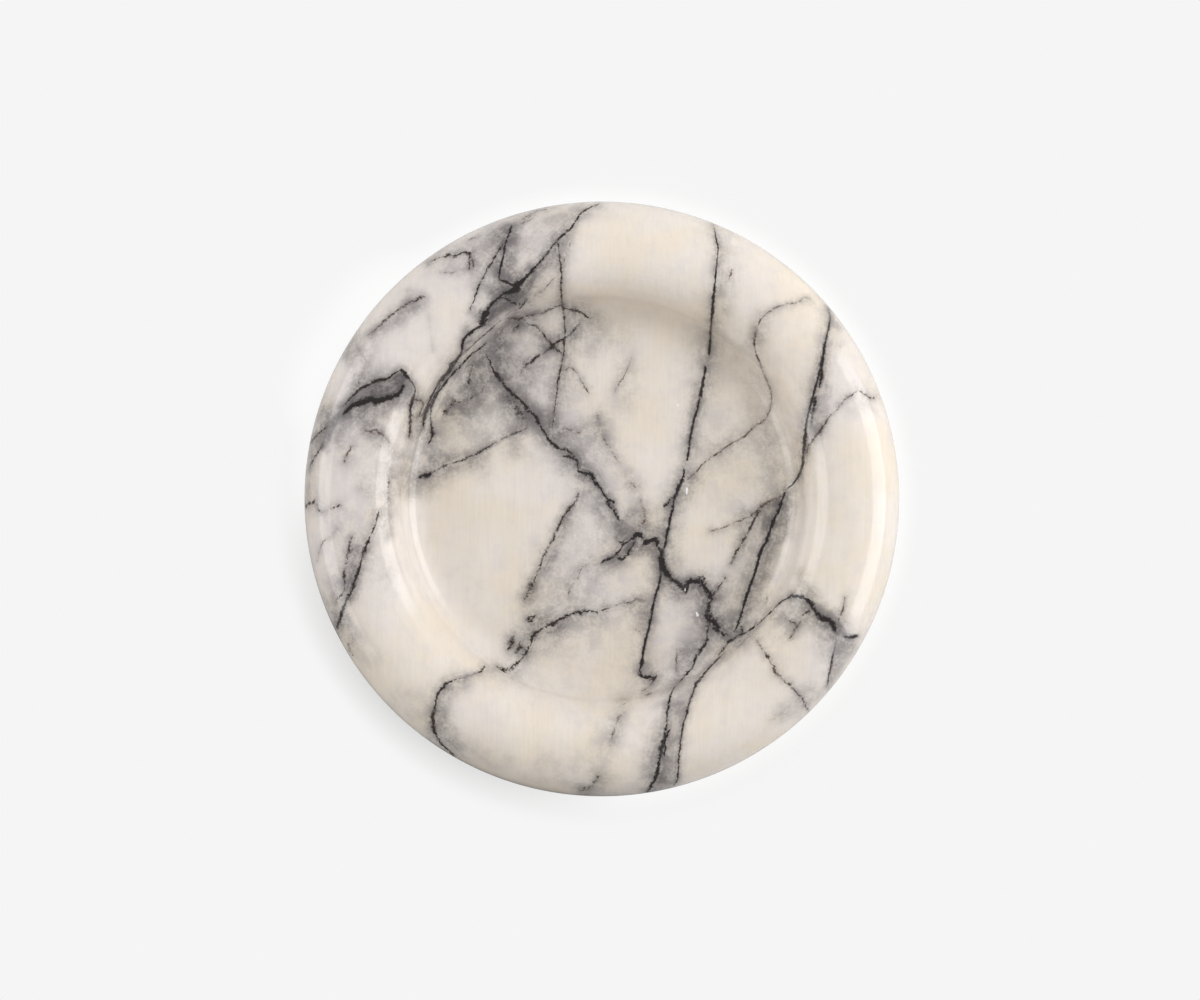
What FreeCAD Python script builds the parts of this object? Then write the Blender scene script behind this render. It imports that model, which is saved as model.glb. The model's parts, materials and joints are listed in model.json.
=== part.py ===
# Ring dish: a round stone dish turned from one block, with a full-round rim about a shallow well.
# It stands on stick-on felt pads, each held to the flat underside by its own film of adhesive.
# Lengths are in millimetres. +Z is up, and the origin is on the table under the middle of the dish.

import FreeCAD
import Part
import Sketcher
import math
import os

# The driving sizes: alias in the sheet, value, and what it measures.
SIZES = [
    ("outer_diameter", 127.0, "across the widest part of the rim"),
    ("rim_thickness", 21.0, "diameter of the round rim section, and so the height of the stone"),
    ("well_depth", 12.5, "from the crown of the rim down to the floor of the well"),
    ("well_fillet", 6.0, "radius where the wall of the well runs out into the floor"),
    ("pad_circle_diameter", 80.0, "circle on which the felt pads are centred"),
    ("pad_count", 4, "felt pads under the dish, evenly spaced"),
    ("felt_diameter", 12.0, "across one felt pad"),
    ("felt_thickness", 1.6, "height of one felt pad"),
    ("felt_edge_radius", 0.4, "rounding of the felt where it meets the table"),
    ("film_thickness", 0.2, "adhesive film between the felt and the stone"),
    ("film_inset", 0.4, "how far the film stops short of the edge of the felt"),
]

# Sketch references, numbered from 1, for the end points and centre of a piece of geometry.
START, END, CENTRE = range(1, 4)
# Sketch reference for the origin: its geometry and its point.
ORIGIN_POINT = (-1, 1)

# The first pad stands between the X and Y axes, so the four of them make a square.
FIRST_PAD_TURN_SHARE = 0.5


def make_sheet(doc):
    """Spreadsheet with one named cell for each driving size."""
    sheet = doc.addObject("Spreadsheet::Sheet", "Sizes")
    for row, (alias, value, meaning) in enumerate(SIZES, start=1):
        sheet.set(f"A{row}", meaning)
        sheet.set(f"B{row}", str(value))
        sheet.setAlias(f"B{row}", alias)
    doc.recompute()
    return sheet


def new_sketch(body, name, plane_role):
    """Empty sketch on one of the body's own origin planes."""
    sketch = body.newObject("Sketcher::SketchObject", name)
    plane = next(p for p in body.Origin.OriginFeatures if p.Role == plane_role)
    sketch.AttachmentSupport = [(plane, "")]
    sketch.MapMode = "FlatFace"
    return sketch


def bind(sketch, name, expression, *constraint):
    """Adds a dimension to the sketch, names it and binds it to the sheet."""
    index = sketch.addConstraint(Sketcher.Constraint(*constraint))
    sketch.renameConstraint(index, name)
    sketch.setExpression(f"Constraints.{name}", expression)


def point(x, y):
    return FreeCAD.Vector(x, y, 0)


def arc(centre, radius, start_angle, end_angle):
    circle = Part.Circle(centre, FreeCAD.Vector(0, 0, 1), radius)
    return Part.ArcOfCircle(circle, start_angle, end_angle)


def draw_dish_section(sketch, sheet):
    """Half section of the stone: flat base, round rim, concave fillet and flat floor of the well."""
    rim_radius = sheet.rim_thickness / 2
    fillet = sheet.well_fillet
    crown = sheet.outer_diameter / 2 - rim_radius
    floor_height = sheet.rim_thickness - sheet.well_depth

    # The fillet circle touches the rim circle from outside, so the centres are both radii apart.
    rise = floor_height + fillet - rim_radius
    reach = math.sqrt((rim_radius + fillet) ** 2 - rise ** 2)
    floor_radius = crown - reach
    lean = math.atan2(rise, reach)
    downwards = -math.pi / 2

    base = sketch.addGeometry(Part.LineSegment(point(0, 0), point(crown, 0)))
    rim = sketch.addGeometry(arc(point(crown, rim_radius), rim_radius, downwards, math.pi - lean))
    hollow = sketch.addGeometry(arc(point(floor_radius, floor_height + fillet), fillet, downwards, -lean))
    floor = sketch.addGeometry(Part.LineSegment(point(floor_radius, floor_height), point(0, floor_height)))
    middle = sketch.addGeometry(Part.LineSegment(point(0, floor_height), point(0, 0)))

    sketch.addConstraint([
        Sketcher.Constraint("Coincident", base, START, *ORIGIN_POINT),
        Sketcher.Constraint("Horizontal", base),
        Sketcher.Constraint("Tangent", base, END, rim, START),
        Sketcher.Constraint("Tangent", rim, END, hollow, END),
        Sketcher.Constraint("Tangent", hollow, START, floor, START),
        Sketcher.Constraint("Coincident", floor, END, middle, START),
        Sketcher.Constraint("Coincident", middle, END, base, START),
        Sketcher.Constraint("Horizontal", floor),
        Sketcher.Constraint("Vertical", middle),
    ])
    bind(sketch, "rim_radius", "Sizes.rim_thickness / 2", "Radius", rim, rim_radius)
    bind(sketch, "well_fillet", "Sizes.well_fillet", "Radius", hollow, fillet)
    bind(sketch, "crown_radius", "(Sizes.outer_diameter - Sizes.rim_thickness) / 2",
         "DistanceX", *ORIGIN_POINT, rim, CENTRE, crown)
    bind(sketch, "floor_height", "Sizes.rim_thickness - Sizes.well_depth",
         "DistanceY", *ORIGIN_POINT, floor, END, floor_height)


def make_dish(doc, sheet):
    """The stone, turned about the vertical axis and lifted on to its pads."""
    body = doc.addObject("PartDesign::Body", "marble_dish")
    section = new_sketch(body, "dish_section", "XZ_Plane")
    draw_dish_section(section, sheet)
    doc.recompute()
    turned = body.newObject("PartDesign::Revolution", "dish_turned")
    turned.Profile = section
    turned.ReferenceAxis = (section, ["V_Axis"])
    turned.Angle = 360
    body.setExpression("Placement.Base.z", "Sizes.felt_thickness + Sizes.film_thickness")
    return body


def make_disc(doc, label, diameter, thickness, lift, turn):
    """Flat disc on the pad circle; diameter, thickness, lift and turn are expressions."""
    body = doc.addObject("PartDesign::Body", label)
    outline = new_sketch(body, f"{label}_outline", "XY_Plane")
    circle = Part.Circle(point(0, 0), FreeCAD.Vector(0, 0, 1), 1)
    edge = outline.addGeometry(circle)
    outline.addConstraint(Sketcher.Constraint("Coincident", edge, CENTRE, *ORIGIN_POINT))
    bind(outline, "diameter", diameter, "Diameter", edge, 2 * circle.Radius)
    doc.recompute()
    disc = body.newObject("PartDesign::Pad", f"{label}_disc")
    disc.Profile = outline
    disc.setExpression("Length", thickness)
    body.setExpression("Placement.Base.x", f"Sizes.pad_circle_diameter / 2 * cos({turn})")
    body.setExpression("Placement.Base.y", f"Sizes.pad_circle_diameter / 2 * sin({turn})")
    body.setExpression("Placement.Base.z", lift)
    doc.recompute()
    return body


def round_lower_edge(doc, body, radius):
    """Rounds the lowest edge of a disc, where it meets the table."""
    disc = body.Tip
    edges = disc.Shape.Edges
    lowest = min(range(len(edges)), key=lambda i: edges[i].BoundBox.ZMax)
    rounding = body.newObject("PartDesign::Fillet", f"{body.Label}_rounding")
    rounding.Base = (disc, [f"Edge{lowest + 1}"])
    rounding.setExpression("Radius", radius)
    doc.recompute()


def make_pad(doc, number, turn):
    """One stick-on pad: the felt disc on the table and the adhesive film between it and the stone."""
    felt = make_disc(doc, f"felt_pad_{number}", "Sizes.felt_diameter", "Sizes.felt_thickness", "0", turn)
    round_lower_edge(doc, felt, "Sizes.felt_edge_radius")
    film = make_disc(doc, f"adhesive_film_{number}", "Sizes.felt_diameter - 2 * Sizes.film_inset",
                     "Sizes.film_thickness", "Sizes.felt_thickness", turn)
    return [felt, film]


def check(doc, parts):
    """Stops the build if any feature failed or any part is not one sound solid."""
    for feature in doc.Objects:
        if "Invalid" in feature.State or "Error" in feature.State:
            raise RuntimeError(f"{feature.Label} failed: {feature.State}")
    for part in parts:
        shape = part.Shape
        if shape.isNull() or not shape.isValid() or len(shape.Solids) != 1:
            raise RuntimeError(f"{part.Label} is not one valid solid")


def main():
    doc = FreeCAD.newDocument("ring_dish")
    sheet = make_sheet(doc)
    parts = [make_dish(doc, sheet)]
    pad_count = int(sheet.pad_count)
    for number in range(pad_count):
        turn = f"360 deg * {number + FIRST_PAD_TURN_SHARE} / Sizes.pad_count"
        parts += make_pad(doc, number + 1, turn)
    doc.recompute()
    check(doc, parts)
    os.makedirs("parts", exist_ok=True)
    for part in parts:
        part.Shape.exportStep(f"parts/{part.Label}.step")
        box = part.Shape.BoundBox
        print(f"{part.Label}: {part.Shape.Volume:.1f} mm3, z {box.ZMin:.2f} to {box.ZMax:.2f}")


main()
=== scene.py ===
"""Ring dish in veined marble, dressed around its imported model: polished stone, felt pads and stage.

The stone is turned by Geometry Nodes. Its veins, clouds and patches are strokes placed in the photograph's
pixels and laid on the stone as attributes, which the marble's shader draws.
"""
import json
import math
from collections import namedtuple

import bpy
import numpy as np
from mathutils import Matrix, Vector
from mathutils.kdtree import KDTree


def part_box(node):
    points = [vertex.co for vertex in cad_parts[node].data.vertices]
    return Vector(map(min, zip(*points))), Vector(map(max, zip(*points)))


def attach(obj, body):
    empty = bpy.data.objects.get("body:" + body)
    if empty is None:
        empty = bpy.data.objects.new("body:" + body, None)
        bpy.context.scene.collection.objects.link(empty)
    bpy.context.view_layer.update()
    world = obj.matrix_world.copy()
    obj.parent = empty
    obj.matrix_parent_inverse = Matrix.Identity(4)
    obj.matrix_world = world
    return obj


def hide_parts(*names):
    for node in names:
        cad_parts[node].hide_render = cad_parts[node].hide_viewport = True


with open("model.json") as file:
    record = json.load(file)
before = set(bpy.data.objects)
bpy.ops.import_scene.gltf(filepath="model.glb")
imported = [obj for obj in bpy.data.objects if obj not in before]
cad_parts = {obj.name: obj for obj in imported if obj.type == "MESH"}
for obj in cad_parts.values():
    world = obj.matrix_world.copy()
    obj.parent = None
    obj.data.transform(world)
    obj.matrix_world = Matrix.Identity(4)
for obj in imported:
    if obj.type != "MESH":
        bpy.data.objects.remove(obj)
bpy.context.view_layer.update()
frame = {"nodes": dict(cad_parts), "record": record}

bl_info = {
    "name": "Ring Dish",
    "version": (1, 0, 0),
    "blender": (4, 5, 0),
    "location": "View3D > Sidebar > Ring Dish",
    "description": "Builds a veined marble ring dish on felt pads, and a studio stage for it",
    "category": "Add Mesh",
}

BODY = "root"
MM = 0.001

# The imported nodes, and their boxes at rest.
STONE = "marble_dish"
FELTS = sorted(name for name in frame["nodes"] if name.startswith("felt_pad"))
FILMS = sorted(name for name in frame["nodes"] if name.startswith("adhesive_film"))
STONE_LOW, STONE_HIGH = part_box(STONE)
FELT_LOW, FELT_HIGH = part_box(FELTS[0])
FILM_LOW, FILM_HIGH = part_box(FILMS[0])
WELL_FLOOR = next(mount for mount in frame["record"]["mounts"] if mount["name"] == "well_floor")

# The photograph looks straight down on the dish. Its frame, and where the dish lies in it, in pixels.
PHOTO_WIDTH, PHOTO_HEIGHT = 1200, 1000
DISH_CENTRE_X, DISH_CENTRE_Y = 601.9, 498.9
DISH_RADIUS = 297.2
METRES_PER_PIXEL = (STONE_HIGH.x - STONE_LOW.x) / 2 / DISH_RADIUS
MM_PER_PIXEL = METRES_PER_PIXEL / MM

# Points along the strips of the stone's half section, of a film's and of a felt pad's.
BASE_POINTS, LOWER_RIM_POINTS, UPPER_RIM_POINTS, FILLET_POINTS, FLOOR_POINTS = 17, 20, 64, 17, 57
FILM_FLAT_POINTS, FILM_EDGE_POINTS = 4, 9
FELT_FLAT_POINTS, FELT_EDGE_POINTS = 8, 7
# Rows of faces up the straight side of a felt pad, and faces around a pad or a film.
FELT_SIDE_ROWS = 5
PAD_SEGMENTS = 96
# Points of a turned section that lie closer than this, in metres, become one.
MERGE_DISTANCE = 2e-6
# A felt fibre's radii, and its largest turn about each axis in radians.
FIBRE_ROOT_RADIUS, FIBRE_TIP_RADIUS = 0.012 * MM, 0.004 * MM
FIBRE_TURN = 1.2
# The rings that the polish left: where they start, are full, thin out and end, as radii in millimetres.
RINGS_START, RINGS_FULL, RINGS_THIN, RINGS_END = 35.0, 38.0, 48.0, 53.0
RING_HEIGHT = 0.08 * MM

# Pixels between the samples along a vein, along a vein for its haze, and around a patch.
VEIN_STEP, HAZE_STEP, PATCH_STEP = 0.5, 1.5, 1.0
# Clouds and the haze of veins are left out beyond so many times their reach.
CLOUD_LIMIT, HAZE_LIMIT = 3, 5
# Distance in millimetres beyond which it no longer matters how far off a patch is.
PATCH_FAR = 10.0
# Depth below the widest level over which all but the main veins fade out.
SHALLOW_DEPTH = 3.0 * MM

# The floor's reach to each side in metres, and the brightness of the white surroundings.
FLOOR_REACH = 20.0
WORLD_STRENGTH = 0.533
# How far beyond the dish the floor's painted glow reaches, in general and at the upper left, and its shadow.
GLOW_REACH, LONG_GLOW_REACH, SHADOW_REACH = 6.0 * MM, 14.0 * MM, 9.0 * MM

# A round lamp: its width in metres, its power in watts and its place. The polish does not reflect it.
RoundLamp = namedtuple("RoundLamp", "name width power place")
ROUND_LAMPS = [
    RoundLamp("key", 0.4, 1.3, (0.155, 0.37, 0.47)),
    RoundLamp("top_fill", 0.6, 0.35, (0.0, 0.0, 1.2)),
    RoundLamp("low_fill", 0.5, 0.35, (-0.7, -0.5, 0.24)),
]
# A strip lamp beside the dish: its place along X, length and breadth in metres, and its power in watts.
StripLamp = namedtuple("StripLamp", "name x length breadth power")
STRIP_LAMPS = [
    StripLamp("left_strip", -0.94, 1.7, 0.56, 5.6),
    StripLamp("right_strip", 0.94, 1.6, 0.62, 8.6),
]
STRIP_HEIGHT = 0.34

# A vein's ink is its darkness, its brown how rusty it is and its jag how ragged, all from 0 to 1. A haze of
# its own strength fades out to the left and to the right of the vein, over so many pixels, as one walks it.
# Each point is x and y in the photograph's pixels and the vein's width there.
Vein = namedtuple("Vein", "ink brown jag haze left right points")
# A cloud is a soft stroke: its strength, its reach to either side in pixels, and its points.
Cloud = namedtuple("Cloud", "strength reach points")
# A patch is an area with a clear edge: its strength and its corners.
Patch = namedtuple("Patch", "strength corners")

MAIN_VEINS = {
    "floor_diagonal": Vein(0.95, 0.05, 0.5, 0.75, 8, 8, [
        (486, 355, 1.0), (488, 359, 1.6), (490, 362, 2.2), (492, 367, 2.8), (495, 373, 2.6),
        (499, 378, 4.2), (503, 384, 2.4), (508, 389, 2.8), (511, 393, 4.4), (515, 396, 3.4),
        (520, 400, 2.2), (524, 404, 2.8), (528, 409, 4.2), (532, 413, 3.6), (535, 416, 4.4),
        (538, 421, 4.0), (541, 427, 2.8), (546, 435, 3.2), (552, 443, 3.4), (559, 449, 3.0),
        (567, 450, 3.2), (572, 454, 1.4)]),
    "floor_step": Vein(1.0, 0.0, 0.6, 0.7, 5, 6, [
        (576, 459, 2.6), (578, 464, 2.0), (578, 470, 2.2), (584, 473, 3.0), (591, 475, 4.2),
        (594, 480, 3.4), (597, 485, 4.4), (601, 489, 2.0), (603, 493, 2.0), (606, 497, 2.4),
        (608, 502, 3.2), (609, 506, 2.6), (613, 509, 2.4), (616, 514, 2.0), (619, 521, 1.4)]),
    "floor_peak": Vein(0.95, 0.05, 0.6, 0.6, 4, 6, [
        (601, 563, 1.2), (604, 561, 1.8), (608, 559, 2.4), (612, 557, 2.4), (616, 555, 2.8),
        (619, 551, 2.2), (621, 548, 2.2), (623, 545, 2.0), (626, 543, 2.2), (630, 540, 2.4),
        (634, 537, 3.2), (637, 534, 4.4), (640, 535, 4.0), (642, 538, 2.0)]),
    "floor_hook": Vein(1.0, 0.0, 0.7, 0.7, 4, 9, [
        (643, 543, 2.4), (646, 542, 4.6), (650, 541, 3.2), (653, 539, 2.6), (657, 540, 3.2),
        (657, 544, 2.4), (659, 549, 1.6), (661, 552, 4.4), (661, 558, 3.4), (662, 563, 4.4),
        (664, 568, 5.0), (667, 574, 4.0), (671, 578, 3.4), (676, 582, 3.2), (680, 585, 4.0),
        (683, 588, 4.4), (686, 584, 3.0), (690, 582, 4.4), (694, 581, 4.4), (698, 582, 3.4),
        (701, 580, 4.2), (703, 585, 3.4), (706, 590, 4.2), (709, 595, 3.6), (711, 599, 2.6),
        (709, 604, 3.0), (708, 611, 3.6), (707, 617, 4.0), (712, 620, 6.0), (715, 624, 6.4),
        (717, 628, 4.0), (720, 631, 2.6), (724, 635, 2.8), (727, 635, 2.2)]),
    "long_upper": Vein(0.92, 0.1, 0.15, 0.4, 9, 5, [
        (713, 224, 0.4), (715, 232, 0.8), (716, 239, 1.8), (718, 247, 2.0), (718, 253, 1.4),
        (717, 262, 1.0), (716, 270, 1.0), (715.5, 276, 2.0), (715, 281, 1.0), (714.5, 286, 2.4),
        (714, 292, 2.8), (713, 300, 3.2), (712.5, 309, 3.4), (712, 316, 3.2), (711, 325, 2.4),
        (710.5, 333, 2.2), (710, 342, 2.6), (709.5, 350, 2.8), (709, 355, 1.8)]),
    "long_middle": Vein(0.95, 0.1, 0.2, 0.45, 5, 5, [
        (705.5, 367, 2.6), (705, 371, 3.0), (704, 376, 3.0), (703, 381, 2.8), (702, 387, 3.2),
        (701, 393, 3.6), (699, 401, 3.0), (697, 410, 2.4), (694, 420, 2.4), (692, 430, 2.4),
        (690, 441, 2.8), (689, 450, 2.4), (687, 460, 1.8)]),
    "right_rim": Vein(0.95, 0.05, 0.2, 0.5, 5, 6, [
        (828, 308, 0.2), (830, 315, 0.4), (830, 320, 0.8), (829, 326, 1.4), (828, 332, 1.6),
        (826, 338, 2.0), (825, 344, 2.6), (824, 350, 3.0), (822.5, 358, 3.2), (821, 366, 3.2),
        (819, 374, 3.2), (817, 381, 3.0), (815.5, 387, 3.2), (814, 392, 3.6), (813, 398, 3.4),
        (811, 404, 2.8), (809, 411, 2.2), (807, 419, 2.0), (806, 427, 3.0), (805.5, 434, 4.2),
        (804.5, 441, 4.0), (804, 448, 3.4), (803.5, 455, 3.0), (803, 461, 3.0), (802, 467, 2.6),
        (800, 473, 2.6), (798, 477, 2.2), (795, 481, 2.4), (792, 485, 1.6), (788, 488, 1.2)]),
    "right_floor": Vein(0.98, 0.0, 0.2, 0.6, 7, 7, [
        (785, 493, 2.2), (783, 498, 2.8), (781, 503, 3.6), (779, 510, 4.2), (776, 516, 2.6),
        (774, 520, 3.8), (771, 528, 3.2), (768, 537, 3.2), (766, 542, 3.2), (763, 547, 3.8),
        (760, 554, 3.8), (758, 562, 3.2), (755, 573, 3.2), (752, 581, 3.2), (749, 589, 3.2),
        (746, 598, 3.2), (743, 608, 2.8), (740, 618, 2.8), (738, 624, 2.4), (736, 629, 2.6)]),
    "right_shoulder_rise": Vein(0.8, 0.1, 0.3, 0.06, 4, 2, [
        (757, 625, 1.0), (762, 620.5, 1.4), (767, 615.5, 1.4), (772, 610.5, 1.6), (777, 605.5, 1.6),
        (782, 601, 1.8), (787, 598.5, 2.0), (791, 596.5, 2.8)]),
    "right_shoulder": Vein(1.0, 0.0, 0.5, 0.7, 4, 10, [
        (793, 596, 2.6), (796, 596, 2.4), (802, 597.5, 2.6), (807, 600, 3.2), (811, 603, 4.2),
        (813, 607, 4.8), (815, 611, 3.4), (819, 615, 5.0), (823, 619, 6.4), (827, 619, 5.0),
        (831, 622, 5.6), (834, 627, 5.6), (835, 631, 2.0)]),
    "shoulder_end": Vein(1.0, 0.0, 0.3, 0.15, 3, 3, [
        (844, 636, 1.4), (848, 637.5, 2.2), (852, 637, 3.6), (857, 636.5, 3.0)]),
    "bottom_pair_left": Vein(0.95, 0.0, 0.4, 0.4, 5, 8, [
        (675, 687, 1.4), (672, 692, 1.8), (670, 698, 2.0), (668, 707, 2.2), (667, 716, 1.8),
        (666, 725, 1.8), (665, 732, 2.4), (664, 738, 3.4), (663, 743, 5.4), (662, 748, 5.8),
        (661, 753, 3.8), (659.5, 759, 2.8), (658.5, 765, 3.4), (657.5, 771, 4.4), (656, 776, 3.8),
        (654, 781, 2.8), (651, 786, 2.4), (648, 791, 2.0)]),
    "bottom_pair_right": Vein(0.9, 0.1, 0.3, 0.4, 3, 7, [
        (722, 655, 1.2), (716, 661, 1.6), (710, 667, 1.8), (704, 674, 2.0), (700, 679, 2.6),
        (697, 683, 3.0), (694, 689, 2.0), (692, 695, 1.8), (690, 701, 2.0), (688, 707, 2.0),
        (687, 712, 2.4), (685, 719, 1.4), (683, 726, 2.0), (681.5, 734, 2.0), (680.5, 741, 2.0),
        (680, 748, 1.8), (679, 757, 1.6), (678.5, 765, 1.4), (678, 772, 1.2), (677, 780, 1.6),
        (674, 785, 1.4)]),
    "curl_start": Vein(0.74, 0.5, 0.6, 0.4, 7, 4, [
        (642, 600, 1.2), (636, 599.5, 1.6), (630, 603, 1.2), (624, 602.5, 2.2), (617, 605, 1.2),
        (610, 608, 1.0), (604, 609.5, 1.8), (599, 611.5, 1.6)]),
    "curl": Vein(0.85, 0.1, 0.7, 0.5, 7, 4, [
        (597, 612.5, 1.8), (591, 611, 2.0), (587, 610.5, 3.0), (582, 613, 2.6), (577, 612, 2.6),
        (572, 614, 2.6), (567, 616, 2.8), (562, 618, 3.6), (557, 621, 4.8), (552, 624, 4.8),
        (548, 625, 3.2), (543, 628, 2.8), (539, 631, 3.2), (535, 633, 3.6), (532, 638, 2.4),
        (530.5, 643, 2.2), (529, 647, 2.8), (526, 651, 3.0), (523, 656, 2.6), (519, 661, 2.6),
        (515, 664.5, 2.2), (512, 668, 2.4), (508, 670, 2.0), (503, 670, 2.6), (498, 667.5, 1.4)]),
    "curl_rim": Vein(0.9, 0.15, 0.4, 0.3, 5, 6, [
        (484, 667, 1.8), (482, 670, 2.4), (478, 673, 1.0), (473, 674.5, 0.2), (468, 676, 0.3),
        (462, 678.5, 0.5), (455, 680, 1.2), (449, 682, 2.2), (445, 685, 3.0), (441, 689.5, 3.2),
        (438, 693, 3.2), (436.5, 698, 2.0), (435.5, 703, 2.2), (434.5, 709, 3.2), (433, 716, 4.2),
        (432.5, 721, 4.2), (433.5, 728, 3.6), (436, 735, 3.2), (439, 740, 2.6), (443, 745, 2.2),
        (448, 750, 2.2), (454, 755, 1.8)]),
    "upper_left_start": Vein(0.88, 0.05, 0.3, 0.4, 6, 2, [
        (599, 204, 0.8), (592, 206.5, 1.2), (585, 210.5, 1.4), (580, 214, 1.8), (577, 219, 1.8),
        (573, 225, 1.8), (569, 230, 2.0), (565, 233, 2.4), (560, 238, 1.8), (555, 243, 1.7),
        (551, 248, 1.7), (547, 254, 2.2), (542, 260, 1.8), (537, 265, 2.0)]),
    "upper_left": Vein(1.0, 0.0, 0.3, 0.4, 6, 2, [
        (536, 266, 2.0), (532, 271, 3.4), (527, 276, 3.2), (522, 281, 4.6), (519, 285, 6.0),
        (517, 289, 6.6), (511, 291, 4.0), (506, 293, 3.2), (501, 295.5, 3.2), (496, 300, 3.2),
        (492, 304, 3.6), (488, 309, 5.0), (485, 314, 8.0), (483, 318, 9.0), (482, 322, 5.0),
        (484, 325, 2.2), (479, 327, 2.6), (473, 331, 3.2), (468, 335, 3.4), (464, 340, 3.6),
        (462, 345, 3.0), (462, 350, 2.2), (460, 355, 2.4), (456, 360, 3.0), (452, 364, 3.8),
        (449, 370, 3.0), (445, 375, 3.2), (441, 380, 3.2), (437, 386, 2.4), (434, 392, 2.0),
        (430, 399, 2.2), (428, 405, 2.4), (426, 411, 3.0), (424, 417, 3.6), (424, 424, 2.0),
        (424, 429, 1.2)]),
    "left_lens_upper": Vein(0.95, 0.05, 0.3, 0.5, 2.5, 6, [
        (342, 407, 1.0), (348, 401, 1.6), (353, 395.5, 2.0), (358, 390.5, 2.6), (361, 388, 3.2),
        (366, 386.5, 3.2), (370, 384, 3.0), (375, 381.5, 3.0), (380, 380, 3.2), (385, 379.5, 2.8),
        (389, 377.5, 2.0), (393, 374.5, 1.8), (397, 371.5, 1.8), (401, 370, 2.2), (404, 372, 4.2),
        (407, 376, 4.4), (409.5, 379.5, 2.6), (413, 384, 1.2), (415, 390, 1.4), (414.5, 395, 2.4),
        (412.5, 400, 4.2), (411, 406, 3.6), (410.5, 416, 3.0), (410, 425, 2.4), (410, 431, 2.8),
        (409, 437, 1.2)]),
    "left_lower": Vein(0.92, 0.1, 0.4, 0.5, 3, 8, [
        (378.5, 512, 1.4), (377.5, 517, 2.0), (375.5, 524, 2.2), (373, 530, 0.8), (370, 536, 1.4),
        (368, 541, 2.6), (366, 547, 3.2), (363, 555, 3.2), (361, 562, 2.2), (359.5, 567, 3.0),
        (358, 572, 4.0), (355, 580, 3.4), (353, 587, 4.0), (350, 593, 3.2), (347, 599, 3.2),
        (344, 607, 3.2), (341, 616, 4.0), (339, 622, 3.2), (336.5, 628, 2.0)]),
    "floor_dashes": Vein(0.72, 0.2, 0.6, 0.5, 12, 3, [
        (578, 495, 2.2), (576, 500, 1.8), (573, 504.5, 2.2), (569, 509, 3.2), (566, 513, 2.4),
        (563, 518, 3.8), (561, 522, 2.6), (558, 528, 2.2), (555, 533, 2.4), (553, 539, 3.6),
        (550, 545, 2.2), (547, 550, 2.2), (544, 557, 2.2), (542, 562, 2.2), (539, 569, 2.0),
        (536, 576, 1.8), (533, 583, 3.6), (531, 588, 5.0), (528, 594, 3.6), (525, 600, 1.6)]),
    "floor_left": Vein(0.73, 0.15, 0.5, 0.45, 7, 3, [
        (419, 477, 1.8), (422, 476, 3.2), (427, 475, 3.4), (431, 473.5, 2.0), (437, 469.5, 1.2),
        (442, 467, 2.0), (449, 464.5, 1.8), (456, 462, 2.2), (463, 459.5, 2.4), (468, 457, 2.4),
        (474, 455, 1.6), (479, 452.5, 2.6), (485, 449, 2.6), (490, 446, 1.8), (497, 442, 1.0),
        (504, 438.5, 1.2), (512, 434.5, 2.0), (517, 432.5, 1.4), (522, 430.5, 1.6), (527, 428, 1.0)]),
    "top_fall": Vein(0.8, 0.25, 0.3, 0.4, 5, 4, [
        (557.5, 242, 0.8), (559, 252, 1.6), (560, 260, 2.4), (561, 268, 2.2), (561.5, 279, 2.4),
        (561, 288, 1.8), (561.5, 298, 2.2), (562.5, 305, 2.2), (563.5, 312, 1.8), (564.5, 322, 1.6),
        (565, 330, 1.8), (565, 336, 2.8), (564, 343, 2.2), (564, 351, 2.0), (563, 358, 1.2),
        (561, 366, 1.6), (560, 372, 2.2), (558, 381, 2.4), (557, 389, 2.0), (556, 398, 1.2),
        (555, 407, 1.8), (553.5, 416, 2.2), (553, 426, 1.6)]),
}

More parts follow.
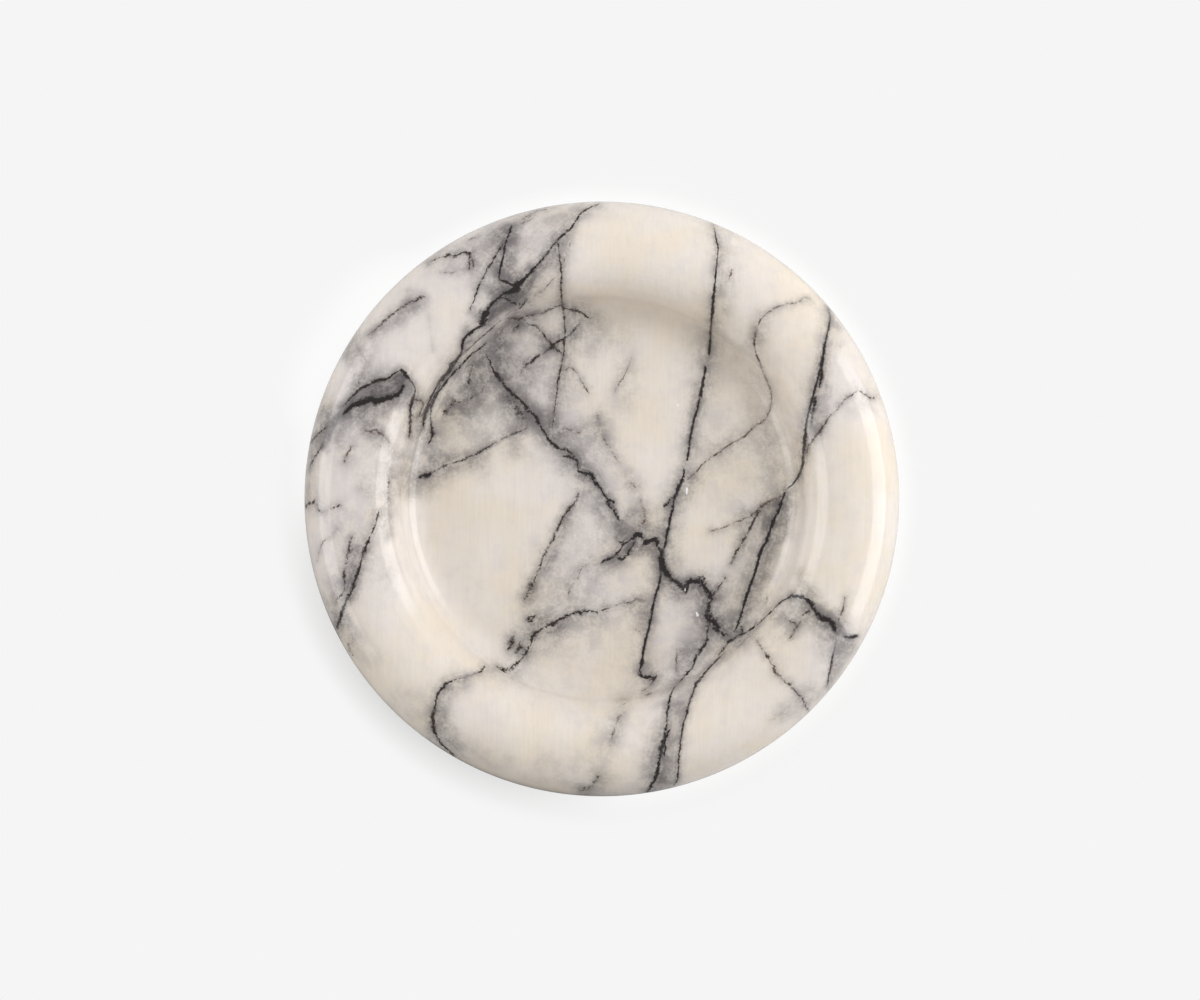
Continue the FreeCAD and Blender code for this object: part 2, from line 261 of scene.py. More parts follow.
SECOND_VEINS = {
    "long_lower": Vein(0.95, 0.0, 0.25, 0.5, 5, 6, [
        (684, 469, 1.6), (683, 476, 2.4), (681, 483, 3.4), (678, 488, 4.0), (676, 494, 3.4),
        (674, 500, 2.8), (673, 506, 2.8), (671, 515, 2.6), (669, 526, 2.8), (667, 534, 2.8),
        (666, 541, 2.8), (664, 548, 3.0), (662, 555, 3.2), (661, 563, 3.4), (661, 572, 2.6),
        (660, 579, 2.4), (658, 588, 2.4), (655, 597, 2.4), (653, 606, 2.4), (651, 617, 2.8),
        (649, 628, 2.4), (646, 638, 2.4), (644, 647, 2.4), (643, 655, 2.4), (642, 661, 3.4),
        (641, 666, 3.6), (640, 670, 1.2)]),
    "long_foot": Vein(1.0, 0.0, 0.6, 0.4, 4, 4, [
        (640, 672, 2.4), (641, 676, 3.6), (644, 678, 4.2), (648, 678, 3.4), (651, 677, 2.6)]),
    "left_lens_lower": Vein(1.0, 0.0, 0.15, 0.75, 8, 6, [
        (403.5, 386, 3.0), (402, 389, 3.6), (400, 392, 4.0), (397, 395, 4.8), (392, 397, 5.4),
        (387, 398.5, 6.0), (382, 400, 7.0), (378, 401, 7.4), (374, 400.5, 7.2), (369, 400.5, 7.2),
        (364, 401.5, 7.0), (359, 403.5, 6.6), (354, 405.5, 6.0), (350, 408, 5.0), (346, 411.5, 4.0),
        (343, 414, 1.6)]),
    "lens_tail_line": Vein(0.85, 0.2, 0.3, 0.4, 3, 4, [
        (326, 427, 1.2), (322, 431, 1.6), (318, 434, 1.6), (314, 438, 1.4), (310.5, 443, 1.6)]),
    "floor_step_start": Vein(0.95, 0.1, 0.5, 0.4, 4, 4, [
        (563, 456.5, 1.0), (567, 457, 2.8), (572, 458, 3.0), (577, 460.5, 2.6)]),
    "step_box": Vein(0.9, 0.0, 0.4, 0.4, 4, 4, [(607, 501, 2.6), (611, 500.5, 2.8), (614, 502, 1.6)]),
    "right_rim_strand": Vein(0.9, 0.05, 0.15, 0.4, 3, 3, [
        (824, 352, 1.2), (823, 360, 2.2), (822, 368, 2.8), (821.5, 375, 3.2), (820.5, 382, 3.0),
        (819.5, 387, 1.2)]),
    "right_rim_low": Vein(0.85, 0.05, 0.5, 0.4, 3, 3, [
        (816, 396, 2.0), (815, 402, 2.8), (813.5, 409, 2.8), (812, 416, 2.6), (811, 422, 1.6)]),
    "right_loop": Vein(0.72, 0.5, 0.3, 0.25, 6, 3, [
        (811, 299, 0.2), (805, 297.5, 0.2), (799, 301.5, 1.0), (793, 303.5, 1.4), (786, 304, 0.3),
        (778, 306.5, 1.4), (773, 309, 1.2), (768, 313, 1.4), (763, 317, 1.4), (760, 320.5, 1.4),
        (757.5, 326, 1.4), (756, 331, 1.6), (755.5, 335, 3.4), (754.5, 339, 4.2), (754.5, 343, 2.2),
        (755, 349, 1.4), (757, 356, 1.6), (760, 364, 1.6), (764, 374, 1.6), (768, 384, 1.6),
        (770.5, 391, 1.6), (771.5, 399, 1.4), (770, 408, 0.8), (768, 415, 1.4), (765, 419.5, 2.2),
        (760, 423, 1.8), (756, 425, 1.6), (751, 430, 1.8), (747, 434, 1.8), (743, 437.5, 2.4),
        (737, 440.5, 1.2), (731, 444, 1.6), (727, 446.5, 2.8), (722, 450, 2.4), (717, 454, 2.0),
        (712, 457, 1.8), (706, 461, 1.4), (700, 467, 1.6), (694, 474, 1.6), (688, 479, 1.6)]),
    "peak_strand": Vein(0.9, 0.0, 0.5, 0.5, 4, 3, [
        (637, 537, 1.6), (635, 541, 2.2), (633, 545, 2.4), (630, 550, 2.6), (627, 555, 2.6),
        (622, 559, 3.2), (618, 558, 1.6)]),
    "right_floor_brown": Vein(0.72, 0.7, 0.4, 0.25, 4, 3, [
        (784, 494.5, 1.2), (778, 498, 1.8), (772, 500, 1.8), (767, 502.5, 1.8), (763, 504.5, 2.8),
        (760, 508, 1.6), (756, 512, 1.8), (750, 516, 1.8), (744, 519, 1.8), (737, 521.5, 1.6),
        (730, 524.5, 1.6), (722, 528, 1.4), (718, 529.5, 2.0), (710, 531, 1.0)]),
    "right_floor_tail": Vein(0.8, 0.3, 0.4, 0.4, 4, 4, [
        (725, 578, 1.2), (721, 584, 1.8), (717, 590, 2.2), (713, 596, 2.2)]),
    "wall_upper": Vein(0.85, 0.05, 0.4, 0.12, 3, 3, [
        (756, 622, 1.0), (754, 626, 1.4), (751, 629.5, 2.2), (746, 632, 2.0), (740, 635, 2.2),
        (735, 638, 2.2), (730, 640.5, 3.0), (727, 644, 2.2), (724, 648, 2.4), (721, 652, 1.8),
        (718, 656, 1.0)]),
    "edge_up": Vein(0.75, 0.4, 0.3, 0.3, 4, 4, [
        (845, 598, 0.8), (843.5, 606, 1.6), (841.5, 613, 1.8), (839, 620, 1.6)]),
    "edge_down": Vein(0.8, 0.15, 0.3, 0.45, 9, 3, [
        (836, 638, 1.2), (835, 645, 1.8), (833.5, 652, 1.8), (832, 660, 2.2), (830.5, 667, 2.2),
        (829, 675, 2.0), (827.5, 685, 1.0)]),
    "right_dots": Vein(0.8, 0.45, 0.7, 0.35, 4, 3, [
        (757, 640, 1.4), (763, 650, 0.8), (766, 655, 2.4), (770, 661, 1.6), (774, 667, 2.6),
        (776, 672, 3.8), (781, 678, 1.0), (785, 682, 2.2), (788, 683.5, 3.0), (792, 688, 1.6),
        (794, 690.5, 3.0), (798, 694, 1.4), (801, 697, 2.8), (803, 700, 2.0), (806, 706, 1.2),
        (808, 711, 1.6)]),
    "wall_fall": Vein(0.9, 0.05, 0.6, 0.5, 4, 5, [
        (708, 627, 1.2), (707.5, 634, 1.8), (706, 641, 2.4), (703, 648, 2.8), (699, 652.5, 3.4),
        (696, 657, 2.6), (694.5, 662, 2.0), (692, 668, 2.2), (687, 673, 2.6), (683, 678, 2.2),
        (679, 682.5, 1.2)]),
    "foot_tick": Vein(0.85, 0.1, 0.4, 0.3, 3, 3, [
        (656, 675, 1.6), (655, 678, 2.6), (653, 681, 2.0), (651, 684, 1.0)]),
    "bottom_spur": Vein(0.95, 0.0, 0.4, 0.3, 3, 3, [
        (669, 730, 1.4), (667, 735, 2.4), (665, 741, 2.0), (665, 748, 2.4), (664, 754, 2.0)]),
    "second_strand": Vein(0.88, 0.0, 0.3, 0.25, 4, 4, [
        (486, 343, 0.8), (479, 349.5, 1.4), (474, 352.5, 2.0), (468, 358, 2.0), (462, 364, 1.8),
        (457, 369.5, 1.8), (452, 375, 2.0), (447, 380.5, 2.0), (442, 387, 2.2), (438, 393, 2.2),
        (434, 400, 2.4), (431.5, 407, 2.2), (430.5, 415, 1.8), (431, 423, 2.0), (432, 429, 3.2),
        (433, 434, 3.6), (431, 439, 2.4), (429, 443, 1.4)]),
    "corner_fall": Vein(0.95, 0.0, 0.3, 0.6, 8, 4, [
        (511.5, 225, 1.8), (510, 231, 2.2), (507, 239, 2.2), (505, 246, 2.4), (504, 252, 2.0),
        (502.5, 260, 2.2), (501, 267, 2.6), (499.5, 273, 2.4), (499, 277, 2.6), (502, 280.5, 2.6),
        (507, 282.5, 2.4), (512, 285, 2.4), (516, 287, 2.6)]),
    "arch": Vein(0.85, 0.15, 0.5, 0.4, 5, 4, [
        (428, 263, 1.0), (433, 260.5, 1.4), (437, 258.5, 1.2), (442, 257, 1.6), (446, 256, 1.8),
        (449, 255, 2.6), (453, 256.5, 1.8), (458, 254.5, 1.8), (463, 253, 2.0), (468, 252.5, 2.6),
        (471, 254.5, 3.2), (470, 259, 2.6), (469.5, 264, 2.6), (469, 269, 1.4)]),
    "top_bar": Vein(0.8, 0.15, 0.5, 0.45, 5, 5, [
        (509, 318.5, 1.2), (514, 318, 2.4), (519, 319, 2.4), (524, 317.5, 1.6), (531, 315, 1.6),
        (537, 313.5, 1.8), (543, 312, 2.2), (549, 309.5, 1.6), (555, 307.5, 1.6), (561, 306, 1.4),
        (567, 309, 1.8), (572, 309.5, 1.8), (577, 311, 3.0), (581, 313, 3.2), (585, 315.5, 2.0),
        (589, 318, 1.0)]),
    "cross_down": Vein(0.8, 0.1, 0.5, 0.45, 5, 5, [
        (525, 322, 1.0), (530, 325, 1.2), (536, 326, 1.6), (539, 330, 2.6), (542, 333, 2.2),
        (546, 338, 2.2), (549, 342, 2.6), (553, 346.5, 2.4), (558, 350.5, 2.0), (562, 354, 1.2)]),
    "left_short": Vein(0.78, 0.35, 0.5, 0.2, 5, 2, [
        (424, 296.5, 2.2), (421, 297.5, 3.0), (416, 300, 2.0), (407, 304, 1.8), (397, 311, 1.8),
        (387, 319, 2.0), (377, 328, 1.6), (369, 335, 1.0)]),
    "left_crack": Vein(0.76, 0.45, 0.5, 0.35, 5, 5, [
        (366, 431, 1.6), (370, 432, 2.6), (373, 431, 2.4), (375, 429.5, 2.8), (377, 431, 2.4),
        (380, 433.5, 2.2), (384, 436, 1.2), (390, 443, 0.8)]),
    "left_parallel": Vein(0.8, 0.25, 0.7, 0.45, 6, 5, [
        (351.5, 538, 2.0), (349, 543, 1.6), (348.5, 548, 3.6), (349, 551.5, 4.0), (347.5, 555, 2.0),
        (346.5, 562, 0.8), (345, 570, 1.8), (344.5, 576, 3.8), (344.5, 581, 2.2), (345, 587, 1.4),
        (342, 594, 2.4), (337, 600, 1.0)]),
    "left_edge_tick": Vein(0.8, 0.2, 0.5, 0.45, 4, 4, [
        (305.5, 507, 2.6), (309, 504, 2.8), (313, 502, 3.6), (314.5, 500, 1.6)]),
    "curl_blob": Vein(0.78, 0.1, 0.7, 0.4, 5, 3, [
        (514.5, 636.5, 3.0), (512.5, 641, 6.6), (511, 645, 6.4), (508.5, 649, 2.4)]),
    "curl_speck": Vein(0.85, 0.1, 0.7, 0.4, 4, 4, [
        (527, 620.5, 2.6), (529, 618.5, 2.4), (531, 621.5, 1.8), (534, 616, 2.0)]),
    "floor_smudge": Vein(0.75, 0.2, 0.8, 0.4, 5, 5, [
        (483.5, 387, 2.6), (482, 391, 3.0), (478, 394, 1.6), (474, 396.5, 2.2), (471, 398.5, 1.8)]),
    "floor_smudge_low": Vein(0.75, 0.2, 0.8, 0.4, 5, 5, [
        (463, 401, 1.0), (459, 403, 1.4), (456, 402, 1.4), (453, 400, 2.4), (452, 404, 3.2),
        (449, 408, 3.0), (446.5, 411, 3.6), (444, 415, 1.4)]),
    "floor_drop": Vein(0.7, 0.2, 0.7, 0.4, 5, 5, [
        (472.5, 362, 0.9), (471, 370, 1.2), (470, 377, 3.4), (469.5, 382, 3.6), (466.5, 387, 1.6)]),
    "small_y_stem": Vein(0.75, 0.4, 0.4, 0.3, 3, 3, [
        (800.5, 621.5, 1.4), (797, 627, 2.2), (794, 631.5, 1.6), (790, 638, 1.6)]),
}

HAIRLINES = {
    "right_branch": Vein(0.8, 0.45, 0.3, 0.35, 2, 5, [
        (874, 398, 1.6), (869, 398, 1.6), (865, 394.5, 1.6), (861, 391.5, 1.2), (857, 391, 1.0),
        (851, 395.5, 1.4), (846, 399, 0.5), (838, 408, 0.8), (833, 413, 0.6), (829, 417, 1.0),
        (825, 424, 2.0), (820, 431, 2.4), (816, 436, 2.6), (812, 441.5, 2.8), (809, 447, 3.0),
        (806, 453, 2.0)]),
    "centre_spur": Vein(0.8, 0.0, 0.6, 0.4, 4, 4, [
        (675, 496, 1.6), (671, 499, 2.4), (668, 503, 3.4), (665, 506, 2.4)]),
    "right_floor_strand": Vein(0.8, 0.3, 0.4, 0.4, 5, 4, [
        (762, 507, 2.2), (758, 513, 2.2), (754, 520, 2.4), (751, 527, 2.4), (747, 534, 2.4),
        (743, 540, 2.6), (740, 547, 2.6), (736, 553, 2.6), (733, 559, 2.2), (731, 563, 1.2)]),
    "floor_hooklet": Vein(0.8, 0.0, 0.4, 0.4, 4, 4, [
        (734, 631, 1.4), (737, 628, 2.4), (740, 626.5, 2.6), (742, 629.5, 2.4), (741, 632, 1.2)]),
    "shoulder_branch": Vein(0.75, 0.1, 0.4, 0.3, 3, 3, [(809, 611, 2.2), (806, 613, 2.2), (803, 615, 1.2)]),
    "wall_streak": Vein(0.52, 0.1, 0.2, 0.05, 3, 3, [
        (753, 630, 1.2), (748, 634.5, 1.4), (742, 640, 1.4), (736, 645, 1.4), (729, 650, 1.4),
        (722, 655.5, 1.4)]),
    "black_tooth": Vein(1.0, 0.0, 0.3, 0.2, 2, 2, [
        (489, 312, 4.0), (485, 316, 9.0), (482, 321, 8.0), (484, 325, 3.0)]),
    "black_knot": Vein(1.0, 0.0, 0.3, 0.3, 3, 3, [
        (524, 279, 3.0), (519, 284, 7.0), (514, 290, 7.0), (506, 293, 4.0)]),
    "hook_knot": Vein(1.0, 0.0, 0.6, 0.3, 3, 3, [(661, 553, 4.0), (663, 566, 7.0), (668, 576, 5.0)]),
    "hook_bend": Vein(0.9, 0.0, 0.8, 0.3, 3, 3, [
        (673, 581, 2.4), (681, 587, 3.6), (686, 591, 3.8), (688, 584, 3.0), (692, 580, 4.0),
        (697, 583, 3.6), (702, 577, 3.0), (703, 584, 5.2), (708, 592, 5.0), (712, 598, 3.2)]),
    "peak_tip": Vein(1.0, 0.0, 0.5, 0.3, 3, 3, [
        (630, 540, 2.4), (635, 536, 4.6), (639, 534, 5.0), (643, 538, 2.0)]),
    "hook_bar": Vein(1.0, 0.0, 0.5, 0.3, 3, 3, [
        (644, 543, 3.0), (649, 541, 4.4), (656, 540, 3.8), (658, 545, 2.6)]),
    "floor_left_end": Vein(1.0, 0.0, 0.4, 0.3, 3, 3, [
        (419, 477, 1.6), (423, 476, 3.8), (428, 475, 4.0), (432, 473.5, 1.6)]),
    "hook_foot": Vein(1.0, 0.0, 0.6, 0.3, 3, 3, [
        (706, 617, 5.0), (713, 622, 9.0), (717, 628, 6.0), (720, 632, 3.0)]),
    "smoke_grain": Vein(0.45, 0.0, 1.0, 0.3, 6, 6, [(507, 326, 8.0), (500, 338, 10.0), (498, 350, 7.0)]),
    "smoke_grain_side": Vein(0.45, 0.0, 1.0, 0.3, 6, 6, [
        (492, 362, 5.0), (499, 366, 8.0), (507, 369, 5.0)]),
    "smoke_grain_low": Vein(0.42, 0.0, 1.0, 0.3, 6, 6, [(485, 361, 4.0), (480, 376, 7.0), (476, 392, 5.0)]),
    "diagonal_smudge": Vein(0.62, 0.0, 0.9, 0.3, 5, 5, [
        (505, 395, 3.0), (512, 404, 6.0), (518, 411, 6.0), (525, 418, 3.0)]),
    "wall_strand": Vein(0.7, 0.0, 0.2, 0.15, 3, 3, [
        (500, 321, 1.0), (492, 328, 1.4), (484, 335, 1.4), (477, 341, 1.4), (470, 348, 1.8),
        (464, 353, 1.8), (459, 358, 1.6), (455, 364, 1.6), (450, 371, 1.6), (446, 377, 1.4),
        (441, 384, 1.4), (437, 391, 1.6), (433, 398, 1.6), (429, 407, 1.6), (426, 414, 1.4),
        (421, 422, 1.4)]),
    "corner_side": Vein(0.82, 0.1, 0.3, 0.4, 4, 4, [
        (504, 243, 1.2), (500, 248, 1.8), (496, 255, 1.8), (492, 262, 1.8), (488, 268.5, 2.0),
        (484, 275.5, 2.2), (481, 281, 2.2), (478, 288, 1.8), (476, 294, 1.4), (473.5, 301, 1.0),
        (470, 310, 0.9)]),
    "arch_tick": Vein(0.7, 0.15, 0.4, 0.3, 3, 3, [(472, 258, 1.6), (473.5, 263, 2.4), (473.5, 267, 1.4)]),
    "arch_faint": Vein(0.55, 0.3, 0.5, 0.3, 4, 4, [
        (439, 271.5, 1.4), (442, 272, 1.6), (449, 272.5, 0.9), (455, 272.5, 1.0)]),
    "cross_up": Vein(0.82, 0.1, 0.5, 0.45, 6, 6, [
        (580, 324, 1.2), (577, 326, 1.6), (573, 331, 2.2), (569, 335, 1.6), (565, 338, 2.2),
        (560, 340.5, 2.6), (555, 344, 3.0), (551, 347, 3.2), (545, 352, 2.0), (541, 354.5, 1.2),
        (537, 357, 2.4), (532, 361, 2.4), (527, 365, 1.8), (522, 370, 1.4)]),
    "curl_blob_side": Vein(0.75, 0.2, 0.7, 0.4, 4, 4, [
        (520, 642, 1.6), (519.5, 646, 4.2), (517.5, 650, 3.0), (515, 652.5, 2.8)]),
    "lens_line": Vein(0.85, 0.0, 0.3, 0.2, 3, 3, [
        (502, 297.5, 1.4), (506, 299, 1.6), (510, 301, 2.6), (514, 303, 1.8), (516.5, 304.5, 1.6)]),
    "edge_line": Vein(0.65, 0.5, 0.3, 0.35, 4, 3, [
        (547, 208.5, 0.9), (537, 211.5, 1.4), (530, 214.5, 1.6), (523, 219, 1.2)]),
    "edge_line_low": Vein(0.6, 0.4, 0.3, 0.3, 3, 3, [(533, 218, 1.0), (527, 221, 1.4), (521, 224, 1.2)]),
    "edge_line_left": Vein(0.6, 0.4, 0.3, 0.3, 3, 3, [
        (478, 236.5, 1.2), (474, 238, 1.4), (470, 239.5, 1.0)]),
    "fork": Vein(0.6, 0.5, 0.3, 0.25, 3, 3, [
        (570.5, 242, 1.0), (569, 248, 1.2), (566.5, 255, 1.2), (563.5, 262, 1.0)]),
    "corner_crack": Vein(0.6, 0.2, 0.5, 0.25, 3, 3, [
        (559, 274, 0.9), (556, 277.5, 1.1), (551, 281, 1.2), (547, 286, 0.9), (541, 292, 1.0),
        (536, 297, 1.0)]),
    "corner_streak": Vein(0.7, 0.0, 0.3, 0.4, 4, 4, [(526.5, 299, 1.4), (523, 304, 2.4), (520, 309, 1.4)]),
    "smoke_smudge": Vein(0.75, 0.0, 0.6, 0.4, 4, 4, [
        (519, 325, 1.2), (516.5, 328.5, 3.4), (513.5, 331.5, 2.0)]),
    "floor_tick_a": Vein(0.65, 0.8, 0.4, 0.15, 4, 4, [
        (631, 358, 0.9), (628, 367, 1.2), (624, 376, 1.3), (618, 385, 1.6), (615, 391, 1.0)]),
    "floor_arch": Vein(0.65, 0.6, 0.4, 0.25, 4, 4, [
        (564, 371, 1.0), (567, 369, 1.4), (571, 368, 1.8), (575, 371, 1.6), (579, 376, 1.2),
        (584, 385, 1.6), (589, 394, 1.0)]),
    "floor_faint": Vein(0.55, 0.4, 0.4, 0.2, 4, 4, [(520, 372, 0.8), (520.5, 378, 1.0), (523, 384, 0.9)]),
    "floor_fall": Vein(0.62, 0.6, 0.5, 0.25, 4, 4, [
        (597, 415, 1.8), (600, 429, 1.2), (603, 437, 1.4), (606, 443, 2.0), (611, 449, 1.2),
        (614, 455, 1.4), (618, 462, 0.9)]),
    "floor_speck": Vein(0.7, 0.8, 0.6, 0.2, 3, 3, [(629, 482, 1.0), (633, 485, 2.2), (636, 487, 1.0)]),
    "floor_curve": Vein(0.7, 0.7, 0.4, 0.3, 4, 4, [
        (640, 500, 0.9), (643, 506, 1.3), (645, 513, 1.3), (645, 519, 2.0), (642, 524, 1.6)]),
    "floor_bar": Vein(0.6, 0.6, 0.6, 0.2, 3, 3, [
        (563, 429, 1.0), (570, 430, 1.6), (576, 432, 2.2), (580, 433, 1.4)]),
    "peak_twig": Vein(0.65, 0.2, 0.4, 0.2, 3, 3, [(619, 542, 1.0), (622, 542.5, 1.6), (625, 540, 1.0)]),
    "brown_dots": Vein(0.62, 0.7, 0.6, 0.25, 4, 4, [
        (586, 565, 1.2), (582, 568, 1.2), (579, 575, 1.4), (577, 580, 1.6), (573, 583.5, 1.4),
        (570, 587, 1.0), (569.5, 592, 3.2), (569, 598, 1.4)]),
    "floor_dot": Vein(0.65, 0.5, 0.3, 0.2, 3, 3, [(602, 541.5, 1.6), (604.5, 541, 1.4)]),
    "long_side_arc": Vein(0.62, 0.6, 0.3, 0.2, 3, 3, [(635, 629, 1.4), (637, 631.5, 1.6), (640, 632, 1.2)]),
    "right_tick": Vein(0.7, 0.8, 0.4, 0.2, 3, 3, [(731.5, 270, 1.0), (730.5, 274.5, 1.8), (729, 279, 1.0)]),
    "small_y_arm": Vein(0.75, 0.4, 0.4, 0.3, 3, 3, [
        (788.5, 620, 1.4), (791, 622, 2.0), (794, 623, 1.8), (796.5, 626, 1.8)]),
    "y_marks": Vein(0.55, 0.6, 0.4, 0.2, 3, 3, [
        (771, 619.5, 1.2), (774, 618, 1.8), (777, 617, 1.2), (782, 616, 1.0)]),
    "low_right_tick": Vein(0.56, 0.9, 0.4, 0.15, 4, 4, [
        (790, 710.5, 0.4), (787, 712.5, 1.8), (781, 715, 0.9), (775, 717.5, 0.8), (769, 720.5, 0.4)]),
    "bottom_brown": Vein(0.6, 0.7, 0.6, 0.25, 4, 4, [
        (629, 700, 1.4), (621, 706, 2.4), (622, 712, 1.2), (618, 719, 1.6), (616, 726, 2.0),
        (613.5, 733, 1.8), (611.5, 740, 1.4), (610, 746, 1.6)]),
    "bottom_edge_tick": Vein(0.72, 0.5, 0.7, 0.35, 4, 4, [
        (598, 776, 1.6), (594, 783, 2.2), (586, 789, 1.6), (580, 790, 1.0)]),
    "left_hook": Vein(0.65, 0.4, 0.4, 0.25, 3, 3, [
        (317, 505, 1.2), (318.5, 509, 1.4), (320.5, 512, 1.4), (324, 512, 1.6), (327, 510.5, 2.2),
        (332, 508, 1.4), (337, 506.5, 1.6), (341, 504.5, 1.6)]),
    "left_tail": Vein(0.6, 0.4, 0.4, 0.2, 3, 3, [
        (338, 528.5, 1.2), (335, 532, 1.8), (330, 538, 1.6), (325, 540, 1.3), (322, 544, 1.3),
        (319.5, 551, 1.3), (317.5, 561, 1.0)]),
    "left_brown": Vein(0.8, 0.9, 0.4, 0.25, 3, 3, [
        (351, 447, 1.4), (348.5, 452, 2.2), (346, 457, 2.4), (344.5, 461, 1.6)]),
    "low_tail": Vein(0.75, 0.2, 0.4, 0.4, 3, 3, [
        (321, 447, 1.6), (319, 451, 1.8), (315, 456, 1.8), (312, 462, 2.0), (310, 467, 1.6),
        (309.5, 471, 1.0)]),
    "floor_low_tail": Vein(0.75, 0.4, 0.4, 0.35, 6, 3, [
        (677.5, 650, 1.0), (676.5, 656, 1.6), (676.5, 661, 2.6), (676.5, 666, 2.4), (676, 672, 1.0)]),
    "left_step": Vein(0.85, 0.4, 0.3, 0.3, 3, 3, [
        (413.5, 399.5, 2.0), (418, 400.5, 2.2), (421.5, 401, 2.4), (423, 404, 2.0), (421.5, 410, 1.4),
        (419, 416, 1.0)]),
    "edge_upper_left": Vein(0.55, 0.4, 0.4, 0.3, 3, 3, [(358, 336, 1.0), (351, 345, 1.6), (345, 354, 1.0)]),
    "left_faint": Vein(0.5, 0.7, 0.3, 0.2, 3, 3, [(355, 345, 0.9), (361, 354, 1.2), (367.5, 362.5, 1.4)]),
    "left_spot": Vein(0.6, 0.4, 0.3, 0.2, 3, 3, [(359.5, 376, 1.2), (359, 380, 1.8), (358.5, 384, 1.0)]),
    "left_marks": Vein(0.6, 0.3, 0.3, 0.2, 3, 3, [(325, 407.5, 1.0), (322.5, 412, 1.8)]),
    "edge_smudge": Vein(0.7, 0.3, 0.4, 0.3, 3, 3, [(348.5, 644, 1.4), (350.5, 651, 2.0), (352, 655, 1.0)]),
    "wisp": Vein(0.38, 0.6, 0.3, 0.2, 4, 4, [
        (428, 316, 0.9), (430, 327, 1.2), (431.5, 340, 1.0), (433, 352, 0.8)]),
    "strip_smudge": Vein(0.6, 0.5, 0.5, 0.3, 4, 4, [(389, 480, 1.8), (388.5, 488, 1.6), (387.5, 498, 1.0)]),
    "wall_tick": Vein(0.7, 0.1, 0.3, 0.3, 3, 3, [(646, 689, 1.6), (642, 691.5, 1.2)]),
    "wall_tick_low": Vein(0.65, 0.1, 0.3, 0.3, 3, 3, [(651, 693.5, 1.2), (644, 695, 1.2)]),
    "wall_dots": Vein(0.55, 0.6, 0.4, 0.2, 3, 3, [(767, 594, 1.2), (766.5, 600, 1.0), (764, 604, 0.8)]),
}

# Flecks of white calcite, drawn like veins.
FLECKS = {
    "long_vein_spark": Vein(1.0, 0.0, 0.1, 0.0, 1, 1, [
        (687, 488, 1.4), (687, 491, 2.2), (686.5, 494, 1.2)]),
    "upper_spark": Vein(0.9, 0.0, 0.1, 0.0, 1, 1, [(678, 404.5, 1.2), (678, 407.5, 1.6)]),
    "hook_spark": Vein(0.95, 0.0, 0.1, 0.0, 1, 1, [(696.5, 613, 2.0), (697.5, 615, 2.4)]),
    "hook_line": Vein(0.7, 0.0, 0.1, 0.0, 1, 1, [(685, 587, 0.8), (685, 591, 0.8)]),
}
